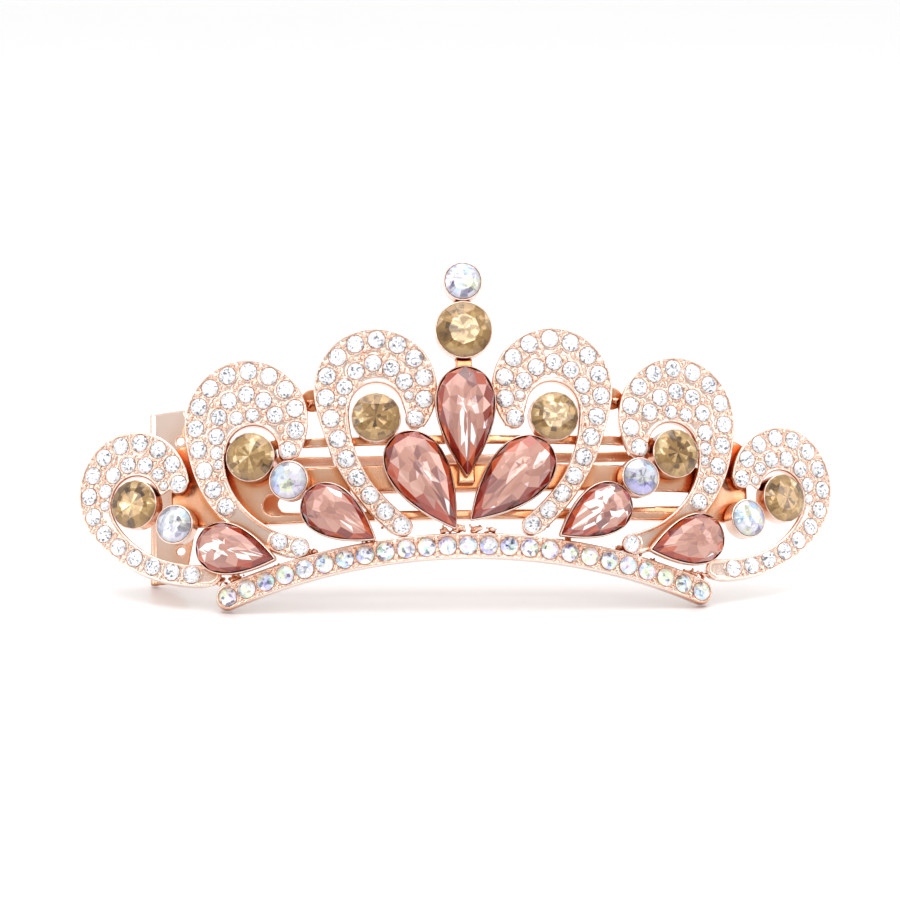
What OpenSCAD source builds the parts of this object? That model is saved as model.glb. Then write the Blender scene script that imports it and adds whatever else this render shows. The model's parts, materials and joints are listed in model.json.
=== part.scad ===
// Crown-shaped rhinestone hair clip: a curved openwork crown of six set scrolls,
// an arched band and cupped stones, soldered to a sprung two-jaw metal clip.
//
// The crown is drawn flat first, as points [across, up] in its own upright frame,
// and then lies on a cylinder that curves round the head. "Out" is the distance in
// front of the crown's metal face; behind the face it is negative.

/* [Crown] */
// Radius of the crown's metal face, as it curves round the head
crown_radius = 102; // [90:0.2:140]
// Thickness of the crown's plates
crown_t = 1.6; // [1.3:0.1:2]
// Gap at each soldered seam and round each glued stone
seam = 0.02; // [0.01:0.01:0.04]
// Diameter of the small set stones
pave_d = 2.3; // [1.9:0.05:2.4]
// Depth of their seats
seat_depth = 0.7; // [0.5:0.05:0.9]
// Distance between the stones of a row, centre to centre
pave_pitch = 2.72; // [2.6:0.02:3.2]
// Metal from the middle of the outer row to the scroll's outer edge
rim = 1.55; // [1.4:0.05:1.8]
// Metal from the middle of the tail's row to its inner edge
tail_rim = 1.3; // [1.25:0.05:1.5]

/* [Band] */
// Length of the arched band, along its middle
band_length = 67.2; // [56:0.2:70]
// Width of the band
band_w = 3.3; // [3:0.1:3.6]
// How far the band's middle rises above its ends
band_rise = 6.7; // [5.6:0.1:8]
// Height of the band's lowest points, in the crown's upright frame
band_low = -0.5; // [-0.8:0.1:0.2]
// Smallest distance between the band's stones, centre to centre
band_pitch = 2.66; // [2.6:0.02:3.6]

/* [Scroll places] */
// Middle of the inner scrolls' heads: distance from the crown's centre line
inner_across = 11.6; // [11.4:0.1:12.5]
// Height of the inner scrolls' heads
inner_up = 27.5; // [26.5:0.1:29]
// Middle of the middle scrolls' heads: distance from the centre line
middle_across = 28.7; // [28:0.1:30]
// Height of the middle scrolls' heads
middle_up = 23.75; // [23:0.1:25]
// Middle of the outer scrolls' heads: distance from the centre line
outer_across = 44.4; // [44:0.1:46]
// Height of the outer scrolls' heads
outer_up = 15.6; // [15:0.1:17]
// Radius of the outer row of stones round an inner head
inner_r = 6.5; // [6.2:0.05:6.8]
// Radius of the outer row of stones round a middle head
middle_r = 6.8; // [6.4:0.05:7.1]
// Radius of the outer row of stones round an outer head
outer_r = 6.5; // [6.2:0.05:6.8]
// Gap between a round cup and the edge of the hole in its scroll's head
cup_room = 0.2; // [0.1:0.05:0.35]

/* [Stones in cups] */
// Diameter of the round stones in the scrolls
round_d = 6; // [5:0.1:6.2]
// Diameter of the large round stone on top
top_round_d = 7.1; // [6:0.1:7.4]
// Diameter of the iridescent round stones
aurora_d = 4.7; // [4:0.1:4.8]
// Wall of a round cup
cup_wall = 0.25; // [0.2:0.05:0.3]
// How far a cup's rim stands out from the crown's face
cup_out = 0.9; // [0.7:0.1:1.2]
// Length of the three front pear stones
pear_l = 14.1; // [13:0.1:14.4]
// Width of the three front pear stones
pear_w = 7.5; // [7:0.1:7.6]
// Length of the four side pear stones
side_pear_l = 10.6; // [9.6:0.1:11]
// Width of the four side pear stones
side_pear_w = 6.4; // [5.6:0.1:6.6]
// Wall of a pear setting
pear_wall = 0.22; // [0.2:0.02:0.3]

/* [Clip] */
// Width of the upper jaw
jaw_w = 11; // [10:0.1:12]
// Height of the jaws' middle line
jaw_up = 16.1; // [15.5:0.1:16.8]
// Thickness of the jaws' sheet metal
sheet = 0.8; // [0.6:0.02:1]
// Left end of the upper jaw, along the crown
jaw_left = 39; // [38:0.1:41]
// Right end of the upper jaw, along the crown
jaw_right = 39; // [36:0.1:41]
// Depth of the upper jaw's side flanges
flange = 1.5; // [1:0.1:2]
// Place of the hinge, along the crown to the left
hinge_across = 34.5; // [33.5:0.1:35]
// Diameter of the hinge pin
pin_d = 1.6; // [1.2:0.02:1.92]
// Radial clearance of the pin in the lower jaw's ears
pin_clearance = 0.05; // [0.03:0.01:0.08]
// Gap between the two jaws at the tip and between their ears
jaw_gap = 0.2; // [0.1:0.01:0.3]
// Wire of the torsion spring
wire_d = 0.6; // [0.5:0.05:0.7]
// Mean radius of the spring's coil
coil_r = 1.5; // [1.4:0.05:1.6]
// Height of the press tab
tab_w = 23.2; // [20:0.1:25]
// Slope of the press tab away from the crown, in degrees
tab_slope = 40; // [34:1:44]
// Length of the press tab from the hinge
tab_l = 12.6; // [11:0.1:13]

/* [Hidden] */
$fn = 48;
SIDES = ["left", "right"];
RANKS = ["outer", "middle", "inner"];
SCROLLS = [for (s = SIDES) for (r = RANKS) str(s, "_", r)];
CUPS = concat(SCROLLS, ["top"]);
AURORAS = ["left_outer", "left_middle", "right_outer", "right_middle", "top"];
PEARS = ["left_outer", "left_middle", "left_front", "top", "right_front", "right_middle", "right_outer"];

ROSE = [0.93, 0.70, 0.60];
ROSE_DEEP = [0.85, 0.55, 0.42];
STEEL_ROSE = [0.90, 0.66, 0.56];
CRYSTAL = [0.93, 0.95, 0.98];
CHAMPAGNE = [0.62, 0.52, 0.30];
AURORA = [0.86, 0.90, 0.98];
PEACH = [0.80, 0.42, 0.36];

// ---- the upright frame and the curve round the head ----

function turn_at(across) = across / crown_radius * 180 / PI;
function across_x(across) = crown_radius * sin(turn_at(across));
function depth_at(x, out) = crown_radius - sqrt(pow(crown_radius + out, 2) - x * x);
function side_sign(side) = side == "left" ? -1 : 1;

// A small piece stood on the crown's face, its own +Z pointing out of it.
module on_crown(at, turn = 0) {
    translate([0, crown_radius, 0])
        rotate([0, 0, turn_at(at[0])])
            translate([0, -crown_radius, at[1]])
                rotate([90, 0, 0])
                    rotate([0, 0, turn])
                        children();
}

// A flat drawing [across, up] cut out of a shell between two distances out.
module crown_plate(points, out_lo, out_hi) {
    reach = 2 * crown_radius;
    intersection() {
        translate([0, crown_radius / 2, 0])
            rotate([90, 0, 0])
                linear_extrude(crown_radius)
                    polygon([for (p = points) [across_x(p[0]), p[1]]]);
        translate([0, crown_radius, -reach / 4])
            difference() {
                cylinder(r = crown_radius + out_hi, h = reach / 2, $fn = 360);
                translate([0, 0, -1])
                    cylinder(r = crown_radius + out_lo, h = reach / 2 + 2, $fn = 360);
            }
    }
}

// ---- the arched band ----

BAND_HALF = band_length / 2;
ARCH_R = (BAND_HALF * BAND_HALF + band_rise * band_rise) / (2 * band_rise);
BAND_TURN = (BAND_HALF - band_w / 2) / ARCH_R * 180 / PI;
ARCH_UP = band_low + band_w / 2 - ARCH_R * cos(BAND_TURN);
BAND_STEPS = 32;

function arch_point(turn, r) = [r * sin(turn), ARCH_UP + r * cos(turn)];
// Middles of the band's round ends: -1 for the left end, 1 for the right.
function band_end(side, r, turned) =
    arch_point(side * BAND_TURN, ARCH_R)
    + r * [sin(side * BAND_TURN + turned), cos(side * BAND_TURN + turned)];
function band_outline(extra) =
    let (half = band_w / 2 + extra)
    concat(
        [for (i = [-BAND_STEPS:BAND_STEPS]) arch_point(i / BAND_STEPS * BAND_TURN, ARCH_R + half)],
        [for (i = [1:11]) band_end(1, half, i * 15)],
        [for (i = [BAND_STEPS:-1:-BAND_STEPS]) arch_point(i / BAND_STEPS * BAND_TURN, ARCH_R - half)],
        [for (i = [1:11]) band_end(-1, half, 180 + i * 15)]
    );
BAND_GAPS = floor(2 * BAND_TURN * PI / 180 * ARCH_R / band_pitch);
BAND_SEATS = [for (i = [0:BAND_GAPS]) arch_point((2 * i / BAND_GAPS - 1) * BAND_TURN, ARCH_R)];

// ---- scrolls ----
// A scroll is drawn for the right side with its head's middle at the origin, its
// local x pointing to the crown's centre line. Angles run from there over the top.
// Up to 180 degrees the outer row is a circle; beyond it the radius grows with a
// power of the angle, which draws the tail.

HEAD_ACROSS = 0;
HEAD_UP = 1;
ROW_R = 2;
START = 3;
TURN = 4;
REACH = 5;
POWER = 6;
HOLE_AT = 7;
JOIN = 8;
FADE = 9;
FILL = 10;

// Height of the tails' last stones over the band's outer edge.
MIDDLE_OVER = 1.264;
INNER_OVER = 1.322;
HOLE_R = round_d / 2 + cup_wall + cup_room;

// How far a tail has to reach, in head radii beyond the first, to end on the band.
function tail_reach(across, up, r, turn, over) =
    let (a = 180 + turn,
         rise = up - ARCH_UP,
         along = across * cos(a) - rise * sin(a),
         spare = across * across + rise * rise - pow(ARCH_R + band_w / 2 + over, 2))
    (along - sqrt(along * along - spare)) / r - 1;
MIDDLE_TURN = 113;
INNER_TURN = 100.4;
MIDDLE_REACH = tail_reach(middle_across, middle_up, middle_r, MIDDLE_TURN, MIDDLE_OVER);
INNER_REACH = tail_reach(inner_across, inner_up, inner_r, INNER_TURN, INNER_OVER);

function scroll_sizes(rank) =
    rank == "outer"
    ? [outer_across, outer_up, outer_r, 6, 134, 1.45, 3.8, [0.4, -1.35], 195, 95, []]
    : rank == "middle"
    ? [middle_across, middle_up, middle_r, -35, MIDDLE_TURN, MIDDLE_REACH, 2.33,
        [0.9, -3.85], 205, 75, [45, 150]]
    : [inner_across, inner_up, inner_r, -38, INNER_TURN, INNER_REACH, 3.1, [0.1, -2.6], 200, 60, []];

FILL_R = 1.35;
FILL_D = 1.8;
WEB = 0.3;
ROW_GAP = 3.05;
SECOND_MAX = 2.2;
SECOND_MIN = 1.15;
PATH_STEP = 4.01;

function row_radius(s, a) =
    s[ROW_R] * (1 + s[REACH] * pow(max(a - 180, 0) / s[TURN], s[POWER]));
function row_point(s, a) = row_radius(s, a) * [cos(a), sin(a)];
function row_out(s, a) =
    let (t = row_point(s, a + 1) - row_point(s, a - 1))
    [t[1], -t[0]] / norm(t);
function hole_room(s, a) = norm(row_point(s, a) - s[HOLE_AT]) - HOLE_R;
function inner_room(s, a) =
    a < s[JOIN] ? hole_room(s, a)
    : tail_rim + (hole_room(s, s[JOIN]) - tail_rim)
        * pow(max(0, 1 - (a - s[JOIN]) / s[FADE]), 1.3);
function row_end(s) = 180 + s[TURN];
function cap_points(s, a, r, from_turn) =
    let (n = row_out(s, a), n_turn = atan2(n[1], n[0]))
    [for (i = [0:6])
        let (t = n_turn + from_turn + i * 30)
        row_point(s, a) + r * [cos(t), sin(t)]];

function scroll_outline(s) = concat(
    [for (a = [s[START]:PATH_STEP:row_end(s)]) row_point(s, a) + row_out(s, a) * rim],
    cap_points(s, row_end(s), tail_rim, 0),
    [for (a = [row_end(s):-PATH_STEP:s[JOIN] + 1]) row_point(s, a) - row_out(s, a) * inner_room(s, a)],
    [for (a = [180:-10:10]) s[HOLE_AT] + HOLE_R * [cos(a), sin(a)]],
    cap_points(s, s[START], tail_rim, -180)
);

function place_on_crown(s, side, p) = [side_sign(side) * (s[HEAD_ACROSS] - p[0]), s[HEAD_UP] + p[1]];

// Running length along the outer row, as a table of [length, angle].
ROW_STEP = 2;
function run_lengths(s) =
    let (angles = [s[START]:ROW_STEP:row_end(s)],
         steps = [for (a = angles) norm(row_point(s, a + ROW_STEP) - row_point(s, a))],
         runs = [for (i = 0, sum = 0; i < len(steps); sum = sum + steps[i], i = i + 1) sum])
    [for (i = [0:len(steps) - 1]) [runs[i], s[START] + i * ROW_STEP]];

// Each seat is [point, diameter].
function first_row(s) =
    let (runs = run_lengths(s),
         length = runs[len(runs) - 1][0],
         n = floor(length / pave_pitch))
    [for (i = [0:n]) [row_point(s, lookup(i * length / n, runs)), pave_d]];
function second_d(s, a) = min(SECOND_MAX, pave_d, inner_room(s, a) - pave_d / 2 - 2 * WEB);
function second_gap(s, a) = min(ROW_GAP, (inner_room(s, a) + pave_d / 2) / 2);
function second_point(s, a) = row_point(s, a) - row_out(s, a) * second_gap(s, a);
// Turn over which the row's running length is measured, in degrees.
SECOND_PROBE = 28;
function second_row(s, a) =
    a > row_end(s) ? []
    : let (d = second_d(s, a),
           p = second_point(s, a),
           here = d >= SECOND_MIN && norm(p - s[HOLE_AT]) > HOLE_R + d / 2 + WEB / 2,
           speed = norm(second_point(s, a + SECOND_PROBE) - p) / SECOND_PROBE,
           next_d = second_d(s, a + (max(d, SECOND_MIN) + WEB) / speed),
           step = ((max(d, SECOND_MIN) + max(next_d, SECOND_MIN)) / 2 + WEB) / speed)
      concat(here ? [[p, d]] : [], second_row(s, a + step));
function fill_row(s) = [for (a = s[FILL]) [FILL_R * [cos(a), sin(a)], FILL_D]];
SECOND_START = -12;
function all_seats(s) = concat(first_row(s), second_row(s, SECOND_START), fill_row(s));

function scroll_seats(side, rank) =
    let (s = scroll_sizes(rank))
    [for (seat = all_seats(s))
        let (at = place_on_crown(s, side, seat[0]))
        if (clear_of_settings(at, seat[1] / 2)) [at, seat[1]]];

// ---- cups and settings ----

// Cup middles on the right side, [across, up], and the large cup on top.
ROUND_PLACES = [["outer", [43.9, 13.85]], ["middle", [27.9, 19.15]], ["inner", [11.5, 23.7]]];
AURORA_PLACES = [["outer", [38.25, 10.9]], ["middle", [22.9, 15.85]]];
TOP_ROUND_UP = 35;
CUP_BASE = -crown_t;
CUP_FLOOR = 0.6;
STONE_OUT = 0.65;

// A name's row in a table, taken over to its own side of the crown.
function sided_place(name, table) =
    [for (side = SIDES) for (row = table)
        if (name == str(side, "_", row[0])) [side_sign(side) * row[1][0], row[1][1]]][0];
function round_size(name) = name == "top" ? top_round_d : round_d;
function round_at(name) = name == "top" ? [0, TOP_ROUND_UP] : sided_place(name, ROUND_PLACES);
function aurora_at(name) =
    name == "top"
    ? [0, TOP_ROUND_UP + top_round_d / 2 + aurora_d / 2 + 2 * cup_wall + seam]
    : sided_place(name, AURORA_PLACES);

// Pear stones: middle of the round end [across, up], the way the tip points in
// degrees from straight down towards the right, and the stone's [width, length].
FRONT_PEAR = [pear_w, pear_l];
SIDE_PEAR = [side_pear_w, side_pear_l];
PEAR_PLACES = [
    ["left_outer", [-31.9, 7.5], 76, SIDE_PEAR],
    ["left_middle", [-18.05, 12.05], 56, SIDE_PEAR],
    ["left_front", [-6.95, 18.0], 31, FRONT_PEAR],
    ["top", [0, 26.3], 0, FRONT_PEAR],
    ["right_front", [7.8, 17.35], -46, FRONT_PEAR],
    ["right_middle", [18.25, 11.85], -60, SIDE_PEAR],
    ["right_outer", [31.0, 8.0], -77, SIDE_PEAR]
];
function pear_place(name) = [for (p = PEAR_PLACES) if (p[0] == name) p][0];

// A pear outline with its round end's middle at the origin and its tip at -Y: half
// the width is proportional to sin(t) * sin(t/2), which peaks at PEAR_PEAK.
PEAR_STEPS = 36;
PEAR_PEAK = 0.7698;
function pear_outline(w, l) =
    let (round_end = w / 2)
    [for (i = [1:PEAR_STEPS])
        let (t = 360 * i / PEAR_STEPS)
        [w / 2 / PEAR_PEAK * sin(t) * abs(sin(t / 2)), round_end - l / 2 - l / 2 * cos(t)]];
function pear_half_width(w, l, along) =
    let (c = max(-1, min(1, (w / 2 - l / 2 - along) * 2 / l)), t = acos(c))
    w / 2 / PEAR_PEAK * sin(t) * sin(t / 2);

function in_pear(at, r, name) =
    let (p = pear_place(name), size = p[3],
         d = [at[0] - p[1][0], at[1] - p[1][1]],
         local = [d[0] * cos(p[2]) + d[1] * sin(p[2]), -d[0] * sin(p[2]) + d[1] * cos(p[2])],
         reach = r + pear_wall + WEB / 2,
         near = max(-size[1] + size[0] / 2, min(size[0] / 2, local[1])))
    norm([max(0, abs(local[0]) - pear_half_width(size[0], size[1], near)), local[1] - near]) < reach;
function in_cup(at, r, centre, d) = norm(at - centre) < r + d / 2 + cup_wall + seam;
function clear_of_settings(at, r) =
    len([for (n = CUPS) if (in_cup(at, r, round_at(n), round_size(n))) 1]) == 0
    && len([for (n = AURORAS) if (in_cup(at, r, aurora_at(n), aurora_d)) 1]) == 0
    && len([for (n = PEARS) if (in_pear(at, r, n)) 1]) == 0;

module cup_holes() {
    for (n = CUPS)
        on_crown(round_at(n))
            translate([0, 0, CUP_BASE - 2])
                cylinder(d = round_size(n) + 2 * cup_wall + 2 * seam, h = crown_t + 4);
    for (n = AURORAS)
        on_crown(aurora_at(n))
            translate([0, 0, CUP_BASE - 2])
                cylinder(d = aurora_d + 2 * cup_wall + 2 * seam, h = crown_t + 4);
}

module round_cup(at, d) {
    floor_out = CUP_BASE + CUP_FLOOR;
    color(ROSE)
        on_crown(at)
            difference() {
                translate([0, 0, CUP_BASE + seam])
                    cylinder(d = d + 2 * cup_wall, h = cup_out - CUP_BASE - seam);
                translate([0, 0, floor_out])
                    cylinder(d = d + 2 * seam, h = cup_out - floor_out + 1);
            }
}

// A pointed-back stone: table, sloping crown, thin girdle, pavilion.
module cut_stone(at, d, tint) {
    r = d / 2;
    girdle_out = cup_out - 0.45;
    base_out = CUP_BASE + CUP_FLOOR + seam;
    color(tint)
        on_crown(at)
            rotate_extrude()
                polygon([
                    [0, base_out],
                    [0.25 * r, base_out],
                    [r, girdle_out - 0.25],
                    [r, girdle_out],
                    [0.56 * r, cup_out + STONE_OUT],
                    [0, cup_out + STONE_OUT]
                ]);
}

// ---- small set stones ----

PAVE_OUT = 0.75;

module seats(list) {
    for (seat = list)
        on_crown(seat[0])
            translate([0, 0, -seat_depth])
                cylinder(d = seat[1] + 2 * seam, h = seat_depth + 2);
}

module set_stones(list, tint) {
    color(tint)
        for (seat = list)
            let (r = seat[1] / 2)
            on_crown(seat[0])
                rotate_extrude()
                    polygon([
                        [0, -seat_depth],
                        [r, -seat_depth],
                        [r, 0.1],
                        [0.55 * r, PAVE_OUT * seat[1] / pave_d],
                        [0, PAVE_OUT * seat[1] / pave_d]
                    ]);
}

module scroll(side, rank) {
    s = scroll_sizes(rank);
    outline = [for (p = scroll_outline(s)) place_on_crown(s, side, p)];
    color(ROSE)
        difference() {
            crown_plate(outline, -crown_t, 0);
            seats(scroll_seats(side, rank));
            cup_holes();
            crown_plate(band_outline(seam), -2 * crown_t, crown_t);
        }
}

module pave(side, rank) {
    set_stones(scroll_seats(side, rank), CRYSTAL);
}

module crown_band() {
    color(ROSE)
        difference() {
            crown_plate(band_outline(0), -crown_t, 0);
            seats([for (p = BAND_SEATS) [p, pave_d]]);
        }
}

module band_stones() {
    set_stones([for (p = BAND_SEATS) [p, pave_d]], AURORA);
}

// ---- pear settings and stones ----

PEAR_FLOOR = 0.45;
PEAR_RIM = 1.25;
PEAR_GIRDLE = 1.5;
PEAR_TOP = 3.3;
PEAR_TABLE = 0.62;
PEAR_TABLE_DROP = 0.06;
POST_D = 1.6;

// The feet that carry the settings lying over the upper jaw.
PEAR_FEET = [
    ["left_middle", [-18.4, 15.2]],
    ["left_front", [-7, 16.6]],
    ["right_front", [7.4, 16.6]],
    ["right_middle", [18.4, 15.2]]
];

module pear_setting(name) {
    p = pear_place(name);
    size = p[3];
    color(ROSE_DEEP) {
        on_crown(p[1], p[2])
            difference() {
                translate([0, 0, seam])
                    linear_extrude(PEAR_RIM - seam)
                        polygon(pear_outline(size[0] + 2 * pear_wall, size[1] + 2 * pear_wall));
                translate([0, 0, PEAR_FLOOR])
                    linear_extrude(PEAR_RIM)
                        polygon(pear_outline(size[0] + 2 * seam, size[1] + 2 * seam));
            }
        for (foot = PEAR_FEET)
            if (foot[0] == name)
                on_crown(foot[1])
                    translate([0, 0, seam - crown_t])
                        cylinder(d = POST_D, h = crown_t);
    }
}

module pear_stone(name) {
    p = pear_place(name);
    size = p[3];
    table = PEAR_TABLE * size;
    thin = 0.05;
    color(PEACH)
        on_crown(p[1], p[2]) {
            translate([0, 0, PEAR_FLOOR])
                linear_extrude(PEAR_GIRDLE - PEAR_FLOOR)
                    polygon(pear_outline(size[0], size[1]));
            hull() {
                translate([0, 0, PEAR_GIRDLE - thin])
                    linear_extrude(thin)
                        polygon(pear_outline(size[0], size[1]));
                translate([0, -PEAR_TABLE_DROP * size[1], PEAR_TOP - thin])
                    linear_extrude(thin)
                        polygon(pear_outline(table[0], table[1]));
            }
        }
}

// ---- joining pieces ----

POST_W = 2.2;
POST_T = 0.8;

// An upright strip's outline, in the middle of the crown.
function strip_outline(lo, hi) =
    [[-POST_W / 2, lo], [POST_W / 2, lo], [POST_W / 2, hi], [-POST_W / 2, hi]];

// The strip that carries the top pear and the two top cups: its foot is soldered on
// the upper jaw, and a second layer runs up behind the cups.
module finial_post() {
    top_up = aurora_at("top")[1];
    color(ROSE_DEEP) {
        difference() {
            crown_plate(strip_outline(jaw_up - 1, top_up), -crown_t, 0);
            cup_holes();
        }
        crown_plate(strip_outline(JAW_HI + seam, top_up), -crown_t - POST_T, -crown_t);
    }
}

LINK_D = 3;
LINK_T = 0.8;
LINK_PLACES = [[36.6, 23.3], [20.1, 26.6]];

// Small plates soldered behind neighbouring scrolls.
module scroll_links() {
    color(ROSE_DEEP)
        for (side = [-1, 1])
            for (p = LINK_PLACES)
                on_crown([side * p[0], p[1]])
                    translate([0, 0, -crown_t - LINK_T - 0.03])
                        cylinder(d = LINK_D, h = LINK_T);
}

// ---- the clip ----

JAW_FRONT = -crown_t;
JAW_BACK = JAW_FRONT - sheet;
JAW_LO = jaw_up - jaw_w / 2;
JAW_HI = jaw_up + jaw_w / 2;
BAR = 1.2;
SLOT_W = 2.6;
SLOT_LEFT = -26.4;
SLOT_RIGHT = 33;
SLOT_OFF = jaw_w / 2 - BAR - SLOT_W / 2;
CORNER = 2;

COIL_ROOM = coil_r + wire_d / 2 + 0.12;
PIN_OUT = JAW_BACK - COIL_ROOM - 0.45;
PIN_X = -(crown_radius + PIN_OUT) * sin(turn_at(hinge_across));
PIN_Y = crown_radius - (crown_radius + PIN_OUT) * cos(turn_at(hinge_across));

// A long outline along the jaw with round ends.
function round_bar(left, right, up, w) = concat(
    [for (a = [-90:15:90]) [right - w / 2 + w / 2 * cos(a), up + w / 2 * sin(a)]],
    [for (a = [90:15:270]) [left + w / 2 + w / 2 * cos(a), up + w / 2 * sin(a)]]
);
function rounded_box(left, right, lo, hi, r) = concat(
    [for (a = [-90:15:0]) [right - r + r * cos(a), lo + r + r * sin(a)]],
    [for (a = [0:15:90]) [right - r + r * cos(a), hi - r + r * sin(a)]],
    [for (a = [90:15:180]) [left + r + r * cos(a), hi - r + r * sin(a)]],
    [for (a = [180:15:270]) [left + r + r * cos(a), lo + r + r * sin(a)]]
);

EAR_R = 1.55;
EAR_FOOT = 3.6;
FLANGE_LEFT = -28;

// One ear: a round eye about the pin and a web down to the sheet it stands on.
module ear(up, foot_y, r) {
    translate([0, 0, up])
        linear_extrude(sheet)
            union() {
                translate([PIN_X, PIN_Y])
                    circle(r = r);
                polygon([
                    [PIN_X - 0.8 * r, PIN_Y],
                    [PIN_X - 0.4 * r, foot_y],
                    [PIN_X + EAR_FOOT, foot_y],
                    [PIN_X + r, PIN_Y]
                ]);
            }
}

module upper_jaw() {
    ear_foot = depth_at(PIN_X + EAR_FOOT, JAW_BACK) + 0.35;
    color(STEEL_ROSE)
        difference() {
            union() {
                crown_plate(rounded_box(-jaw_left, jaw_right, JAW_LO, JAW_HI, CORNER), JAW_BACK, JAW_FRONT);
                for (up = [JAW_LO, JAW_HI - sheet]) {
                    crown_plate(
                        [[FLANGE_LEFT, up], [jaw_right - 3, up],
                         [jaw_right - 3, up + sheet], [FLANGE_LEFT, up + sheet]],
                        JAW_BACK - flange, JAW_BACK);
                    difference() {
                        ear(up, ear_foot - 3, EAR_R);
                        translate([0, crown_radius, up - 1])
                            difference() {
                                cylinder(r = crown_radius + 10, h = sheet + 2, $fn = 360);
                                translate([0, 0, -1])
                                    cylinder(r = crown_radius + JAW_BACK, h = sheet + 4, $fn = 360);
                            }
                    }
                }
            }
            for (side = [-1, 1])
                crown_plate(
                    round_bar(SLOT_LEFT, SLOT_RIGHT, jaw_up + side * SLOT_OFF, SLOT_W),
                    JAW_BACK - 0.5, JAW_FRONT + 0.5);
            translate([PIN_X, PIN_Y, JAW_LO - 1])
                cylinder(d = pin_d + 2 * seam, h = jaw_w + 2);
        }
}

LOWER_W = jaw_w - 2 * sheet - 2 * jaw_gap;
LOWER_LO = jaw_up - LOWER_W / 2;
TIP_X = 35.6;
TIP_Y = depth_at(TIP_X, JAW_BACK) + jaw_gap;
JAW_DX = TIP_X - PIN_X;
JAW_DY = PIN_Y - TIP_Y;
JAW_TILT = atan2(JAW_DY, JAW_DX) + asin(COIL_ROOM / norm([JAW_DX, JAW_DY]));
NECK_L = 2.6;
FLARE_L = 1.4;
LIP_R = 0.6;
TAB_HOLE_R = 0.55;
TAB_HOLE_UP = 7.4;

// The sheet's middle lines, jaw and tab, are both tangent to one circle about the
// pin, and the fold is where the two tangents meet.
PIN = [PIN_X, PIN_Y];
BEND_R = COIL_ROOM + sheet / 2;
FOLD_AT = (180 - JAW_TILT - tab_slope) / 2;
FOLD = PIN + BEND_R / cos((tab_slope - JAW_TILT) / 2) * [cos(FOLD_AT), sin(FOLD_AT)];
JAW_END = PIN + BEND_R * [sin(JAW_TILT), cos(JAW_TILT)]
    + norm([JAW_DX, JAW_DY]) * [cos(JAW_TILT), -sin(JAW_TILT)];
TAB_END = PIN + BEND_R * [sin(tab_slope), cos(tab_slope)]
    + tab_l * [-cos(tab_slope), sin(tab_slope)];

module strip(a, b) {
    hull()
        for (p = [a, b])
            translate(p)
                circle(d = sheet);
}

module lower_profile() {
    strip(JAW_END, FOLD);
    strip(FOLD, TAB_END);
}

NECK_X = PIN_X - NECK_L;

function lower_outline() =
    let (half = LOWER_W / 2, wide = tab_w / 2, far = TAB_END[0] - 1)
    [
        [TIP_X, jaw_up - half + CORNER / 2],
        [TIP_X, jaw_up + half - CORNER / 2],
        [TIP_X - CORNER, jaw_up + half],
        [NECK_X, jaw_up + half],
        [NECK_X - FLARE_L, jaw_up + wide],
        [far, jaw_up + wide],
        [far, jaw_up - wide],
        [NECK_X - FLARE_L, jaw_up - wide],
        [NECK_X, jaw_up - half],
        [TIP_X - CORNER, jaw_up - half]
    ];

module lower_jaw() {
    rail = 1.5;
    slot = (LOWER_W - 3 * rail) / 2;
    color(STEEL_ROSE)
        difference() {
            union() {
                intersection() {
                    linear_extrude(3 * tab_w)
                        lower_profile();
                    translate([0, 3 * tab_w, 0])
                        rotate([90, 0, 0])
                            linear_extrude(4 * tab_w)
                                polygon(lower_outline());
                }
                for (up = [LOWER_LO, LOWER_LO + LOWER_W - sheet])
                    difference() {
                        ear(up, PIN_Y + COIL_ROOM + 0.3, EAR_R - 0.1);
                        translate([0, 0, up - 1])
                            linear_extrude(sheet + 2)
                                translate([PIN_X, PIN_Y])
                                    rotate(-JAW_TILT)
                                        translate([-5, COIL_ROOM + sheet / 2])
                                            square([20, 10]);
                    }
                translate([TAB_END[0], TAB_END[1], jaw_up - tab_w / 2])
                    cylinder(r = LIP_R, h = tab_w);
            }
            for (side = [-1, 1])
                translate([0, 3 * tab_w, 0])
                    rotate([90, 0, 0])
                        linear_extrude(4 * tab_w)
                            polygon(round_bar(-24, TIP_X - 3, jaw_up + side * (slot + rail) / 2, slot));
            for (side = [-1, 1])
                translate([PIN_X - 4.6, 3 * tab_w, jaw_up + side * TAB_HOLE_UP])
                    rotate([90, 0, 0])
                        cylinder(r = TAB_HOLE_R, h = 4 * tab_w);
            translate([PIN_X, PIN_Y, JAW_LO])
                cylinder(d = pin_d + 2 * pin_clearance, h = jaw_w);
        }
}

HEAD_R = 1.15;
HEAD_T = 0.5;

module hinge_pin() {
    color(ROSE_DEEP)
        translate([PIN_X, PIN_Y, JAW_LO - HEAD_T - seam]) {
            cylinder(r = HEAD_R, h = HEAD_T);
            cylinder(d = pin_d, h = jaw_w + 2 * HEAD_T + 2 * seam);
            translate([0, 0, jaw_w + HEAD_T + 2 * seam])
                cylinder(r = HEAD_R, h = HEAD_T);
        }
}

// ---- torsion spring: one wire swept along leg, coil and leg ----

COIL_TURNS = 8;
COIL_PITCH = wire_d * 1.18;
COIL_LO = jaw_up - COIL_TURNS * COIL_PITCH / 2;
LEG_A = -102;
LEG_B = 90 - tab_slope;
LEG_A_L = 4.6;
LEG_B_L = 6.5;
COIL_RINGS = 14;
WIRE_SIDES = 8;
COIL_SWEEP = 360 * COIL_TURNS + LEG_B - LEG_A;

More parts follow.
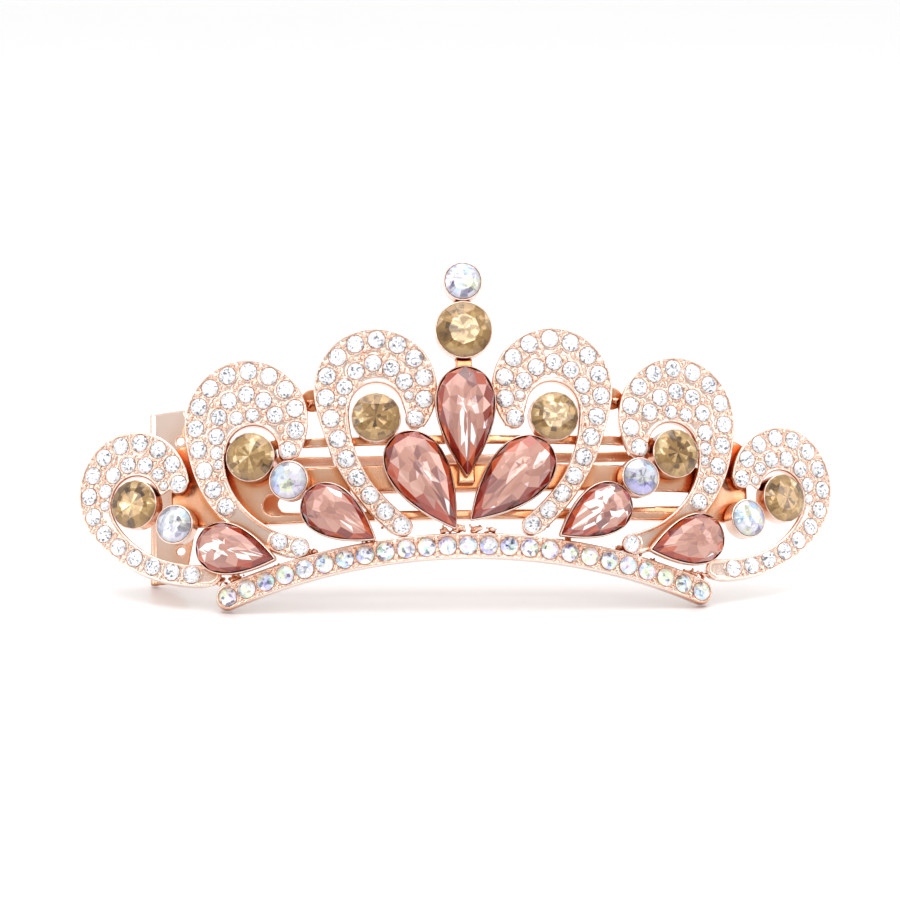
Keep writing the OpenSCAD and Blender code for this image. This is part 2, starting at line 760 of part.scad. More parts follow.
function coil_point(a) =
    [PIN_X + coil_r * cos(a), PIN_Y + coil_r * sin(a),
     COIL_LO + (a - LEG_A) / COIL_SWEEP * COIL_TURNS * COIL_PITCH];
function leg_way(a) = [-sin(a), cos(a), 0];
COIL_N = ceil(COIL_SWEEP / 360 * COIL_RINGS);
WIRE_ROUTE = concat(
    [coil_point(LEG_A) - LEG_A_L * leg_way(LEG_A)],
    [for (i = [0:COIL_N]) coil_point(LEG_A + COIL_SWEEP * i / COIL_N)],
    [coil_point(LEG_A + COIL_SWEEP) + LEG_B_L * leg_way(LEG_A + COIL_SWEEP)]
);
function way_at(route, i) =
    let (t = route[min(i + 1, len(route) - 1)] - route[max(i - 1, 0)])
    t / norm(t);
function wire_ring(route, i) =
    let (t = way_at(route, i), side = cross([0, 0, 1], t), n = side / norm(side), b = cross(t, n))
    [for (k = [0:WIRE_SIDES - 1])
        route[i] + wire_d / 2 * (cos(360 * k / WIRE_SIDES) * n + sin(360 * k / WIRE_SIDES) * b)];

module torsion_spring() {
    n = len(WIRE_ROUTE);
    m = WIRE_SIDES;
    rings = [for (i = [0:n - 1]) each wire_ring(WIRE_ROUTE, i)];
    sides = [for (i = [0:n - 2]) for (k = [0:m - 1])
        [i * m + k, i * m + (k + 1) % m, (i + 1) * m + (k + 1) % m, (i + 1) * m + k]];
    caps = [[for (k = [m - 1:-1:0]) k], [for (k = [0:m - 1]) (n - 1) * m + k]];
    color("silver")
        polyhedron(rings, concat(sides, caps));
}

// ---- standing frame: leaning back on the band's two ends and the press tab ----

// The back edges of the band's round ends, as [y, up].
FEET = [for (p = band_outline(0)) if (p[1] < band_low + band_w) [depth_at(across_x(p[0]), -crown_t), p[1]]];
TAB_LO = jaw_up - tab_w / 2;
TAB_HI = jaw_up + tab_w / 2;
LEAN = max([for (f = FEET) atan2(TAB_LO - f[1], TAB_END[1] + LIP_R - f[0])]);
LEAN_UP = max([for (f = FEET) f[0] * sin(LEAN) - f[1] * cos(LEAN)]);
// A pear's table corner, in the upright frame.
function pear_table_point(p, q) =
    let (v = [q[0], q[1] - PEAR_TABLE_DROP * p[3][1]],
         side = v[0] * cos(p[2]) - v[1] * sin(p[2]),
         rise = v[0] * sin(p[2]) + v[1] * cos(p[2]),
         a = turn_at(p[1][0]))
    [side * cos(a) + (crown_radius + PEAR_TOP) * sin(a),
     crown_radius + side * sin(a) - (crown_radius + PEAR_TOP) * cos(a),
     p[1][1] + rise];
function leaned_y(p) = p[1] * cos(LEAN) + p[2] * sin(LEAN);
FRONT_Y = min([for (p = PEAR_PLACES)
    for (q = pear_outline(PEAR_TABLE * p[3][0], PEAR_TABLE * p[3][1]))
        leaned_y(pear_table_point(p, q))]);
BACK_Y = (TAB_END[1] + LIP_R) * cos(LEAN) + TAB_HI * sin(LEAN);

module place() {
    translate([0, -(FRONT_Y + BACK_Y) / 2, LEAN_UP])
        rotate([-LEAN, 0, 0])
            children();
}

place() upper_jaw();
place() lower_jaw();
place() hinge_pin();
place() torsion_spring();
place() crown_band();
place() band_stones();
place() finial_post();
place() scroll_links();
for (side = SIDES) {
    for (rank = RANKS) {
        place() scroll(side, rank);
        place() pave(side, rank);
    }
}
for (n = CUPS) {
    place() round_cup(round_at(n), round_size(n));
    place() cut_stone(round_at(n), round_size(n), CHAMPAGNE);
}
for (n = AURORAS) {
    place() round_cup(aurora_at(n), aurora_d);
    place() cut_stone(aurora_at(n), aurora_d, AURORA);
}
for (n = PEARS) {
    place() pear_setting(n);
    place() pear_stone(n);
}
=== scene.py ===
"""Looks of a crown-shaped rhinestone hair clip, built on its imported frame.

Six cast scrolls and an arched band, set with small clear and iridescent stones,
carry cupped round stones and pear stones; behind them is a sprung two-jaw clip.
Sizes are in millimetres until a mesh is made, and meshes are in metres.
"""

from __future__ import annotations

import json
import logging
import math
from dataclasses import dataclass, field
from enum import Enum
from typing import Any, Callable, Sequence

import bpy
import numpy as np
from mathutils import Matrix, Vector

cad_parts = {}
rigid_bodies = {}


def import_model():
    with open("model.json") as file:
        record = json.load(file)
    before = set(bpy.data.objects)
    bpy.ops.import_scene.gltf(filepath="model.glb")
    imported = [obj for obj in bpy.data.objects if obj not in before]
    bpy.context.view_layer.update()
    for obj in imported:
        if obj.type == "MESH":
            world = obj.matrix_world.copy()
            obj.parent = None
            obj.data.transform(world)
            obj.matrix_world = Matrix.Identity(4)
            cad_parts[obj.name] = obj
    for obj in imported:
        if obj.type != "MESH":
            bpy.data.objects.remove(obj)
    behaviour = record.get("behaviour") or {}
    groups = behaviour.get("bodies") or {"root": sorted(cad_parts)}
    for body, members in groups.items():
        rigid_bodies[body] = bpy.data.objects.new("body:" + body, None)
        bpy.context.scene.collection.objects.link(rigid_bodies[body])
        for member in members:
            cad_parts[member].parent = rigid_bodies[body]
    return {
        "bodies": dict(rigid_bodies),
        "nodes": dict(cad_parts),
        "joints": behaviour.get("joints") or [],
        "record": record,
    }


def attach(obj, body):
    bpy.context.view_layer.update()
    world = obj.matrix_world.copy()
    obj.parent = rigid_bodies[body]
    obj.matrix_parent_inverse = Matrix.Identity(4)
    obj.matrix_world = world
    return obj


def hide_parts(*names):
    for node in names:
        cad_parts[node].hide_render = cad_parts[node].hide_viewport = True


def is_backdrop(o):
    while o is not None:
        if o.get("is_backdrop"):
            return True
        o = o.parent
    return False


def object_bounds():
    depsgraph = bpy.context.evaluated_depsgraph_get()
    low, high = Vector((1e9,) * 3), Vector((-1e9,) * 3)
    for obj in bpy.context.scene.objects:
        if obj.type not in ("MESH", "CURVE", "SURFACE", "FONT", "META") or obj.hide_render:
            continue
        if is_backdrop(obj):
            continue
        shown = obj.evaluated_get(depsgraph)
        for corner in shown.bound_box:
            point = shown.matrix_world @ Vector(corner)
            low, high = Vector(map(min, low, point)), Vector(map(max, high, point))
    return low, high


LOG = logging.getLogger("hair_clip")
MM = 0.001
Array = np.ndarray
Colour = tuple[float, float, float]
Faces = list[tuple[int, ...]]
Rng = np.random.Generator


# ---------------------------------------------------------------- the crown's frame


@dataclass(frozen=True)
class CrownFrame:
    """Where a point drawn on the curved crown lies in the standing frame.

    Attributes:
        radius: radius of the crown's metal face round the head, mm.
        lean: how far the crown leans back as it stands, degrees.
        forward: shift along Y that centres the clip's footprint, mm.
        lift: shift along Z that sets it on the floor, mm.
    """

    radius: float = 102.0
    lean: float = 19.2645
    forward: float = -14.73069
    lift: float = 2.59975

    def stand(self, p: Array) -> Array:
        """Leans upright points back and sets them on the floor.

        Args:
            p: (n, 3) points in the upright crown frame, mm.
        Returns:
            (n, 3) points in the standing frame, mm.
        """
        c, s = math.cos(math.radians(self.lean)), math.sin(math.radians(self.lean))
        y, z = p[..., 1], p[..., 2]
        return np.stack([p[..., 0], y * c + z * s + self.forward, z * c - y * s + self.lift], -1)

    def turn(self, v: Array) -> Array:
        """Leans directions back, without moving them."""
        return self.stand(v) - np.array([0.0, self.forward, self.lift])

    def shell(self, flat: Array, out: Array | float) -> Array:
        """Points across and up the crown, a distance in front of its face.

        The across length runs along the face's circle: angle = across / radius.

        Args:
            flat: (n, 2) across and up, mm.
            out: distance in front of the face, mm.
        Returns:
            (n, 3) standing points, mm.
        """
        a = flat[..., 0] / self.radius
        r = self.radius + np.asarray(out, float)
        up = flat[..., 1]
        return self.stand(np.stack([r * np.sin(a), self.radius - r * np.cos(a), up + 0 * a], -1))

    def axes(self, across: Array | float) -> tuple[Array, Array, Array]:
        """Directions along, up and out of the face at a place across it."""
        a = np.asarray(across, float) / self.radius
        zero = np.zeros_like(a)
        along = np.stack([np.cos(a), np.sin(a), zero], -1)
        out = np.stack([np.sin(a), -np.cos(a), zero], -1)
        up = np.stack([zero, zero, zero + 1], -1)
        return self.turn(along), self.turn(up), self.turn(out)

    def stood(self, at: Sequence[float], local: Array, turned: float = 0.0) -> Array:
        """Stands a small piece on the face, its own Z pointing out.

        Args:
            at: across and up of its middle, mm.
            local: (n, 3) points of the piece, mm.
            turned: turn about its own Z, degrees.
        Returns:
            (n, 3) standing points, mm.
        """
        c, s = math.cos(math.radians(turned)), math.sin(math.radians(turned))
        u = local[:, 0] * c - local[:, 1] * s
        v = local[:, 0] * s + local[:, 1] * c
        along, up, out = self.axes(at[0])
        base = self.shell(np.array([at], float), 0.0)[0]
        return base + u[:, None] * along + v[:, None] * up + local[:, 2:3] * out


CROWN = CrownFrame()


# ---------------------------------------------------------------- shader expressions


class Value:
    """A number on its way through a material; operators on it add Math nodes."""

    def __init__(self, shader: "Shader", socket: Any) -> None:
        """Wraps a socket of a shader's tree."""
        self.shader = shader
        self.socket = socket

    def _math(self, operation: str, *others: Any) -> "Value":
        """One Math node on this value and others."""
        node = self.shader.add("ShaderNodeMath", {"operation": operation}, dict(enumerate((self, *others))))
        return Value(self.shader, node.outputs[0])

    def __add__(self, other: Any) -> "Value":
        """Sum."""
        return self._math("ADD", other)

    __radd__ = __add__

    def __sub__(self, other: Any) -> "Value":
        """Difference."""
        return self._math("SUBTRACT", other)

    def __rsub__(self, other: Any) -> "Value":
        """Difference from a number."""
        return self._math("MULTIPLY", -1.0)._math("ADD", other)

    def __mul__(self, other: Any) -> "Value":
        """Product."""
        return self._math("MULTIPLY", other)

    __rmul__ = __mul__

    def __truediv__(self, other: Any) -> "Value":
        """Quotient."""
        return self._math("DIVIDE", other)

    def __pow__(self, other: Any) -> "Value":
        """Power."""
        return self._math("POWER", other)

    def __gt__(self, other: Any) -> "Value":
        """1 where this is larger."""
        return self._math("GREATER_THAN", other)

    def floor(self) -> "Value":
        """Whole part."""
        return self._math("FLOOR")

    def clamp(self) -> "Value":
        """Held between 0 and 1."""
        return self._math("MAXIMUM", 0.0)._math("MINIMUM", 1.0)

    def over(self, low: float, high: float) -> "Value":
        """0 at low to 1 at high, held there."""
        return ((self - low) / (high - low)).clamp()


class Shader:
    """A material's node tree round one Principled shader."""

    def __init__(self, name: str) -> None:
        """Makes the material and finds its shader."""
        self.material = bpy.data.materials.new(name)
        self.material.use_nodes = True
        self.tree = self.material.node_tree
        self.main = next(n for n in self.tree.nodes if n.type == "BSDF_PRINCIPLED")

    def _feed(self, socket: Any, value: Any) -> None:
        """Links a value, or sets a constant."""
        if isinstance(value, Value):
            self.tree.links.new(value.socket, socket)
        elif isinstance(value, bpy.types.NodeSocket):
            self.tree.links.new(value, socket)
        elif isinstance(value, (tuple, list)) and len(value) == 3 and len(socket.default_value) == 4:
            socket.default_value = (*value, 1.0)
        else:
            socket.default_value = value

    def add(self, kind: str, settings: dict[str, Any] | None = None, inputs: dict[Any, Any] | None = None) -> Any:
        """Adds one node.

        Args:
            kind: the node's type.
            settings: its properties, set first; "stops" fills a colour ramp.
            inputs: values or links of its sockets, by name or number.
        Returns:
            The node.
        """
        node = self.tree.nodes.new(kind)
        for key, value in (settings or {}).items():
            if key == "stops":
                ramp = node.color_ramp
                while len(ramp.elements) > 1:
                    ramp.elements.remove(ramp.elements[-1])
                ramp.elements[0].position = value[0][0]
                ramp.elements[0].color = (*value[0][1], 1.0)
                for place, colour in value[1:]:
                    ramp.elements.new(place).color = (*colour, 1.0)
            else:
                setattr(node, key, value)
        for key, value in (inputs or {}).items():
            self._feed(node.inputs[key], value)
        return node

    def set(self, **inputs: Any) -> None:
        """Feeds the Principled shader; a name's underscores are spaces."""
        for key, value in inputs.items():
            self._feed(self.main.inputs[key.replace("_", " ")], value)

    def value(self, node: Any, output: str | int = 0) -> Value:
        """One of a node's outputs, as a number."""
        return Value(self, node.outputs[output])

    def mark(self, name: str) -> Value:
        """A number that the mesh carries."""
        return self.value(self.add("ShaderNodeAttribute", {"attribute_name": name}), "Fac")

    def channel(self, colour: Any, number: int) -> Value:
        """One of a colour's three numbers."""
        return self.value(self.add("ShaderNodeSeparateColor", None, {0: colour}), number)

    def face(self) -> tuple[Value, Value]:
        """The two numbers of the stone's own map."""
        uv = self.add("ShaderNodeUVMap", {"uv_map": "face"}).outputs[0]
        split = self.add("ShaderNodeSeparateXYZ", None, {0: uv})
        return self.value(split, 0), self.value(split, 1)

    def ramp(self, place: Value, stops: Sequence[tuple[float, Colour]]) -> Any:
        """Colours along a value."""
        return self.add("ShaderNodeValToRGB", {"stops": stops}, {0: place}).outputs[0]

    def blend(self, share: Any, a: Any, b: Any, mode: str = "MIX") -> Any:
        """Mixes two colours."""
        node = self.add("ShaderNodeMix", {"data_type": "RGBA", "blend_type": mode})
        self._feed(node.inputs[0], share)
        self._feed(node.inputs[6], a)
        self._feed(node.inputs[7], b)
        return node.outputs[2]

    def noise(self, scale: float, detail: float = 2.0, stretch: tuple[float, float, float] | None = None) -> Value:
        """Cloudy noise over the object, 0 to 1.

        Args:
            scale: cells to a metre.
            detail: octaves.
            stretch: scale along each axis, for drawn or brushed grain.
        Returns:
            The noise.
        """
        vector = self.add("ShaderNodeTexCoord").outputs["Object"]
        if stretch is not None:
            vector = self.add("ShaderNodeMapping", None, {"Vector": vector, "Scale": stretch}).outputs[0]
        node = self.add("ShaderNodeTexNoise", None, {"Vector": vector, "Scale": scale, "Detail": detail})
        return self.value(node, 0)

    def bump(self, height: Value, strength: float, distance: float) -> Any:
        """A Bump node's normal."""
        inputs = {"Strength": strength, "Distance": distance, "Height": height}
        return self.add("ShaderNodeBump", None, inputs).outputs[0]


# ---------------------------------------------------------------- finishes

Stops = tuple[tuple[float, Colour], ...]


@dataclass(frozen=True)
class PlatedMetal:
    """Polished rose-gold plating: pale where it faces the room, with deep orange painted shade in its recesses.

    Attributes:
        name: material name.
        pale: colour of open surfaces.
        deep: painted shade, the colour put where light has bounced from metal to metal.
        near: reach of the painted shade in small recesses, mm.
        far: reach of it in the large ones, mm.
        roughness: smallest roughness.
        grain: height of the cast grain, mm.
        grain_scale: grains to a metre.
        drawn: stretch of the grain along each axis.
    """

    name: str
    pale: Colour
    deep: Colour
    near: float = 0.5
    far: float = 7.0
    roughness: float = 0.12
    grain: float = 0.02
    grain_scale: float = 1800.0
    drawn: tuple[float, float, float] = (1.0, 1.0, 1.0)

    def material(self) -> bpy.types.Material:
        """Builds the material: the painted shade of the recesses is 1 - near light * far light, squared."""
        s = Shader(self.name)
        near = s.value(s.add("ShaderNodeAmbientOcclusion", {"samples": 4}, {"Distance": self.near * MM}), "AO")
        far = s.value(s.add("ShaderNodeAmbientOcclusion", {"samples": 4}, {"Distance": self.far * MM}), "AO")
        cloud = s.noise(260.0, 3.0)
        grain = s.noise(self.grain_scale, 3.0, self.drawn)
        # Painted shade: ambient occlusion turns the colour from pale to deep in recesses; the cloud adds random tone.
        painted_recess_shade = ((1.0 - near) * 0.85 + (1.0 - far) * 0.9 + (cloud - 0.5) * 0.35).over(0.05, 0.85)
        middle = tuple(math.sqrt(a * b) for a, b in zip(self.pale, self.deep))
        tint = s.ramp(painted_recess_shade, ((0.0, self.pale), (0.45, middle), (1.0, self.deep)))
        s.set(
            Base_Color=tint,
            Metallic=1.0,
            Roughness=grain * 0.16 + self.roughness,
            Normal=s.bump(grain, 0.55, self.grain * MM),
            Coat_Weight=0.25,
            Coat_Roughness=0.06,
        )
        return s.material


@dataclass(frozen=True)
class CutStone:
    """A foil-backed cut stone with painted reflections: the light its facets return is painted in wedges round the
    middle.

    The stone's own map runs from 0 to 1 over its width. Cells are wedges in rings,
    mixed with broken cells, and a ramp turns each cell's number into a painted reflection.

    Attributes:
        name: material name.
        stops: painted reflections of the cells, darkest returns first, bright glints last.
        wedges: cells round the stone.
        rings: cells from the middle to the edge.
        shards: broken cells across the stone.
        broken: share of the broken cells.
        rim: painted shade near the edge.
        edge_shade_share: how strongly the edge takes it.
        metallic: how much of the light comes back as from foil.
        tints: colours that drift over the stone, or none.
        tint_share: how strongly they show.
    """

    name: str
    stops: Stops
    wedges: float = 16.0
    rings: float = 3.0
    shards: float = 4.0
    broken: float = 0.5
    rim: Colour = (0.5, 0.5, 0.5)
    edge_shade_share: float = 0.35
    metallic: float = 0.3
    tints: Stops = ()
    tint_share: float = 0.5

    def material(self) -> bpy.types.Material:
        """Builds the material from the stone's own map and its attributes."""
        s = Shader(self.name)
        x, y = (v * 2.0 - 1.0 for v in s.face())
        seed, facet = s.mark("stone"), s.mark("facet")
        radius = (x * x + y * y) ** 0.5
        around = y._math("ARCTAN2", x) / (2 * math.pi) + 0.5 + seed
        wedge = (around * self.wedges).floor()
        ring = (radius * self.rings + (wedge / 2.0)._math("FRACT")).floor()
        spot = s.add("ShaderNodeCombineXYZ", None, {0: wedge, 1: ring, 2: seed * 97.0}).outputs[0]
        wedge_cell = s.value(s.add("ShaderNodeTexWhiteNoise", {"noise_dimensions": "3D"}, {"Vector": spot}))
        flat = s.add("ShaderNodeCombineXYZ", None, {0: x, 1: y, 2: seed * 41.0}).outputs[0]
        shard = s.add("ShaderNodeTexVoronoi", {"feature": "F1"}, {"Vector": flat, "Scale": self.shards})
        shard_cell = s.channel(shard.outputs["Color"], 0)
        cell = wedge_cell * (1.0 - self.broken) + shard_cell * self.broken
        # Painted reflection: each facet cell is lit from dark to a bright glint.
        lit = (cell * 0.8 + facet * 0.2 - 0.1).clamp()
        colour = s.ramp(lit, self.stops)
        if self.tints:
            drift = s.add("ShaderNodeTexVoronoi", {"feature": "F1"}, {"Vector": flat, "Scale": self.shards * 0.6})
            hue = s.channel(drift.outputs["Color"], 1)
            colour = s.blend(self.tint_share, colour, s.ramp(hue, self.tints), "MULTIPLY")
        # Painted shade towards the stone's edge.
        edge = radius.over(0.72, 1.0) * self.edge_shade_share
        colour = s.blend(edge, colour, self.rim)
        s.set(
            Base_Color=colour,
            Metallic=self.metallic,
            Roughness=0.06,
            Coat_Weight=1.0,
            Coat_Roughness=0.02,
            Normal=s.bump(s.value(shard, "Distance"), 0.35, 0.25 * MM),
        )
        s.set(IOR=1.6)
        return s.material


@dataclass(frozen=True)
class PearGlass:
    """A rose-peach stone with painted reflections: its table's facets are painted light and dark in streaks along its
    length, with painted glints, and its deep red edge is partly its colour and partly painted shade.

    Attributes:
        name: material name.
        table: painted reflections of the table's facets, darkest first.
        deep: colours of the edge, darkest first: the stone's deep red with painted shade.
        glint: colour of the painted highlights in the bright streaks.
    """

    name: str
    table: Stops
    deep: Stops
    glint: Colour

    def material(self) -> bpy.types.Material:
        """Builds the material: the attribute "depth" is 0 on the table, 1 at the edge."""
        s = Shader(self.name)
        x, y = s.face()
        seed, facet, depth = s.mark("stone"), s.mark("facet"), s.mark("depth")
        along = s.add("ShaderNodeCombineXYZ", None, {0: x * 9.0, 1: y * 2.6, 2: seed * 53.0 + facet * 3.0}).outputs[0]
        streak = s.add("ShaderNodeTexVoronoi", {"feature": "F1"}, {"Vector": along, "Scale": 1.0})
        cell, other = (s.channel(streak.outputs["Color"], k) for k in (0, 1))
        # Painted reflection of each facet, streaked along the stone.
        lit = (facet * 0.72 + cell * 0.28).clamp()
        colour = s.blend(depth ** 0.7, s.ramp(lit, self.table), s.ramp(lit, self.deep))
        # Painted highlight: the brightest streak cells take the glint, away from the edge.
        colour = s.blend((other > 0.92) * (1.0 - depth * 0.85), colour, self.glint)
        s.set(
            Base_Color=colour,
            Metallic=0.15,
            Roughness=0.08,
            Coat_Weight=0.7,
            Coat_Roughness=0.02,
            Normal=s.bump(s.value(streak, "Distance"), 0.3, 0.3 * MM),
        )
        s.set(IOR=1.6)
        return s.material


@dataclass(frozen=True)
class SpringWire:
    """Bright drawn steel wire.

    Attributes:
        name: material name.
        colour: colour of the steel.
    """

    name: str = "drawn spring steel"
    colour: Colour = (0.62, 0.58, 0.54)

    def material(self) -> bpy.types.Material:
        """Builds the material, with fine drawing marks."""
        s = Shader(self.name)
        marks = s.noise(5000.0, 2.0)
        tint = s.ramp(marks, ((0.0, tuple(c * 0.72 for c in self.colour)), (1.0, self.colour)))
        s.set(Base_Color=tint, Metallic=1.0, Roughness=marks * 0.2 + 0.18, Normal=s.bump(marks, 0.3, 0.01 * MM))
        return s.material


@dataclass(frozen=True)
class PaleFloor:
    """A plain pale floor.

    Attributes:
        name: material name.
        low: its darkest colour.
        high: its lightest.
    """

    name: str = "floor"
    low: Colour = (0.955, 0.955, 0.955)
    high: Colour = (0.975, 0.975, 0.975)

    def material(self) -> bpy.types.Material:
        """Builds the material, faintly clouded."""
        s = Shader(self.name)
        s.set(Base_Color=s.ramp(s.noise(3.0, 2.0), ((0.0, self.low), (1.0, self.high))), Roughness=0.32)
        return s.material


class Finish(Enum):
    """The clip's finishes, and the floor's."""

    # The platings' second colours are painted shade for their recesses.
    CAST = PlatedMetal("rose plating, cast", (0.90, 0.735, 0.655), (0.52, 0.165, 0.06), near=0.45, far=3.0)
    SHEET = PlatedMetal(
        "rose plating, sheet", (0.90, 0.70, 0.60), (0.60, 0.19, 0.06), near=0.8, far=9.0,
        roughness=0.14, grain=0.006, grain_scale=900.0, drawn=(0.12, 1.0, 1.0),
    )
    SOLDER = PlatedMetal(
        "rose plating, solder", (0.90, 0.70, 0.60), (0.54, 0.17, 0.06), near=0.3, far=2.0,
        roughness=0.16, grain=0.12, grain_scale=2600.0,
    )
    SPRING = SpringWire()
    FLOOR = PaleFloor()
    # The stones' ramps are painted reflections from dark returns to white glints, and rim is painted shade at the
    # edge.
    CLEAR = CutStone(
        "clear stone",
        (
            (0.0, (0.05, 0.055, 0.075)), (0.13, (0.22, 0.23, 0.27)), (0.24, (0.62, 0.64, 0.68)),
            (0.38, (0.90, 0.92, 0.95)), (1.0, (1.0, 1.0, 1.0)),
        ),
        wedges=16.0, rings=2.6, shards=5.2, broken=0.72, rim=(0.55, 0.52, 0.52), edge_shade_share=0.35, metallic=0.25,
    )
    BAND = CutStone(
        "iridescent band stone",
        (
            (0.0, (0.07, 0.06, 0.12)), (0.13, (0.30, 0.28, 0.42)), (0.26, (0.74, 0.74, 0.82)),
            (0.4, (0.96, 0.96, 1.0)), (1.0, (1.0, 1.0, 1.0)),
        ),
        wedges=8.0, rings=2.2, shards=2.2, broken=0.6, rim=(0.55, 0.52, 0.52), edge_shade_share=0.3, metallic=0.25,
        tints=(
            (0.0, (0.50, 0.40, 0.90)), (0.22, (0.62, 0.90, 1.0)), (0.38, (1.0, 1.0, 1.0)),
            (0.56, (1.0, 1.0, 1.0)), (0.66, (0.95, 1.0, 0.55)), (0.78, (0.55, 0.96, 0.74)),
            (0.9, (1.0, 0.80, 0.93)), (1.0, (1.0, 1.0, 1.0)),
        ),
        tint_share=0.75,
    )
    AURORA = CutStone(
        "iridescent stone",
        (
            (0.0, (0.10, 0.10, 0.17)), (0.16, (0.34, 0.34, 0.44)), (0.34, (0.66, 0.67, 0.76)),
            (0.7, (0.80, 0.81, 0.87)), (1.0, (1.0, 1.0, 1.0)),
        ),
        wedges=12.0, rings=2.6, shards=2.6, broken=0.5, rim=(0.34, 0.31, 0.34), edge_shade_share=0.7, metallic=0.25,
        tints=(
            (0.0, (0.58, 0.50, 0.92)), (0.2, (0.60, 0.88, 0.98)), (0.4, (1.0, 1.0, 1.0)),
            (0.55, (1.0, 1.0, 0.96)), (0.68, (0.95, 0.99, 0.58)), (0.82, (0.98, 0.84, 0.94)),
            (1.0, (1.0, 1.0, 1.0)),
        ),
        tint_share=0.85,
    )
    CHAMPAGNE = CutStone(
        "champagne stone",
        (
            (0.0, (0.045, 0.016, 0.003)), (0.17, (0.12, 0.056, 0.012)), (0.30, (0.29, 0.155, 0.042)),
            (0.58, (0.43, 0.25, 0.080)), (0.72, (0.62, 0.41, 0.17)), (0.84, (1.0, 0.84, 0.54)),
            (1.0, (1.0, 0.96, 0.84)),
        ),
        wedges=16.0, rings=2.2, shards=2.2, broken=0.22, rim=(0.17, 0.088, 0.026), edge_shade_share=0.5, metallic=0.3,
    )
    # Painted reflections: the table ramp runs up to white glints, and the deep ramp is the red edge with painted
    # shade.
    PEACH = PearGlass(
        "peach stone",
        (
            (0.0, (0.13, 0.055, 0.06)), (0.12, (0.28, 0.12, 0.11)), (0.28, (0.42, 0.20, 0.16)),
            (0.6, (0.54, 0.27, 0.21)), (0.86, (0.62, 0.34, 0.27)),
            (0.95, (0.92, 0.80, 0.78)), (1.0, (1.0, 0.95, 0.93)),
        ),
        (
            (0.0, (0.07, 0.004, 0.002)), (0.3, (0.22, 0.014, 0.006)), (0.65, (0.36, 0.035, 0.012)),
            (1.0, (0.62, 0.13, 0.04)),
        ),
        (1.0, 0.93, 0.92),
    )

    def material(self) -> bpy.types.Material:
        """The finish's material, made once."""
        found = bpy.data.materials.get(self.value.name)
        return found or self.value.material()


class Slot(Enum):
    """The record's material slots."""

    ROSE = "rose_metal"
    CLIP = "clip_metal"
    SPRING = "spring_steel"
    CLEAR = "clear_stone"
    CHAMPAGNE = "champagne_stone"
    AURORA = "iridescent_stone"
    PEACH = "peach_stone"


# ---------------------------------------------------------------- mesh making


@dataclass
class Surface:
    """Points and faces of a piece on its way to a mesh.

    Attributes:
        points: (n, 3) places, mm.
        faces: each face's corners.
        marks: per-corner or per-point numbers by name, one row a point.
        uv: (n, 2) the piece's own map, or none.
    """

    points: Array
    faces: Faces
    marks: dict[str, Array] = field(default_factory=dict)
    uv: Array | None = None

    def __len__(self) -> int:
        """Number of points."""
        return len(self.points)


def gather(parts: Sequence[Surface]) -> Surface:
    """Puts surfaces together into one, renumbering their faces.

    Args:
        parts: surfaces that carry the same marks.
    Returns:
        One surface.
    """
    starts = np.cumsum([0] + [len(p) for p in parts])
    faces = [tuple(i + int(s) for i in f) for p, s in zip(parts, starts) for f in p.faces]
    marks = {k: np.concatenate([p.marks[k] for p in parts]) for k in parts[0].marks}
    uv = None if parts[0].uv is None else np.concatenate([p.uv for p in parts])
    return Surface(np.concatenate([p.points for p in parts]), faces, marks, uv)


def grid_faces(rows: int, columns: int, close_rows: bool, close_columns: bool) -> Faces:
    """Quads of a grid whose points run along its columns first.

    Args:
        rows: number of rows.
        columns: points in a row.
        close_rows: whether the last row joins the first.
        close_columns: whether a row's last point joins its first.
    Returns:
        The faces.
    """
    i = np.arange(rows if close_rows else rows - 1)[:, None]
    j = np.arange(columns if close_columns else columns - 1)[None, :]
    i2, j2 = (i + 1) % rows, (j + 1) % columns
    quads = np.stack([i * columns + j, i * columns + j2, i2 * columns + j2, i2 * columns + j], -1)
    return [tuple(q) for q in quads.reshape(-1, 4).tolist()]


def tube(path: Array, radius: Array | float, sides: int, normal: Array, closed: bool) -> Surface:
    """A round section carried along a path.

    Point (i, k) = path i + radius * (cos k * normal i + sin k * side i), where side is
    the path's direction crossed with the normal.

    Args:
        path: (n, 3) middle line, mm.
        radius: the section's radius, mm.
        sides: points round the section.
        normal: (n, 3) unit directions across the path.
        closed: whether the path joins its own start.
    Returns:
        The tube, capped by fans where it is open.
    """
    ahead = (np.roll(path, -1, 0) - np.roll(path, 1, 0)) if closed else np.gradient(path, axis=0)
    ahead = ahead / np.linalg.norm(ahead, axis=1)[:, None]
    first = normal - (normal * ahead).sum(1)[:, None] * ahead
    first = first / np.linalg.norm(first, axis=1)[:, None]
    side = np.cross(ahead, first)
    k = np.linspace(0, 2 * np.pi, sides, endpoint=False)
    r = np.broadcast_to(np.asarray(radius, float), (len(path),))[:, None, None]
    ring = np.cos(k)[None, :, None] * first[:, None, :] + np.sin(k)[None, :, None] * side[:, None, :]
    points = (path[:, None, :] + r * ring).reshape(-1, 3)
    faces = grid_faces(len(path), sides, closed, True)
    if not closed:
        last = (len(path) - 1) * sides
        faces += [tuple(range(sides - 1, -1, -1)), tuple(range(last, last + sides))]
    return Surface(points, faces)


def lathe(profile: Array, sides: int) -> Surface:
    """A closed profile turned about Z.

    Args:
        profile: (n, 2) radius and height, mm, going round the section anticlockwise.
        sides: steps of the turn.
    Returns:
        The turned ring.
    """
    a = np.linspace(0, 2 * np.pi, sides, endpoint=False)
    r, h = profile[:, 0], profile[:, 1]
    points = np.stack([np.outer(np.cos(a), r), np.outer(np.sin(a), r), np.broadcast_to(h, (sides, len(r)))], -1)
    return Surface(points.reshape(-1, 3), grid_faces(sides, len(r), True, True))


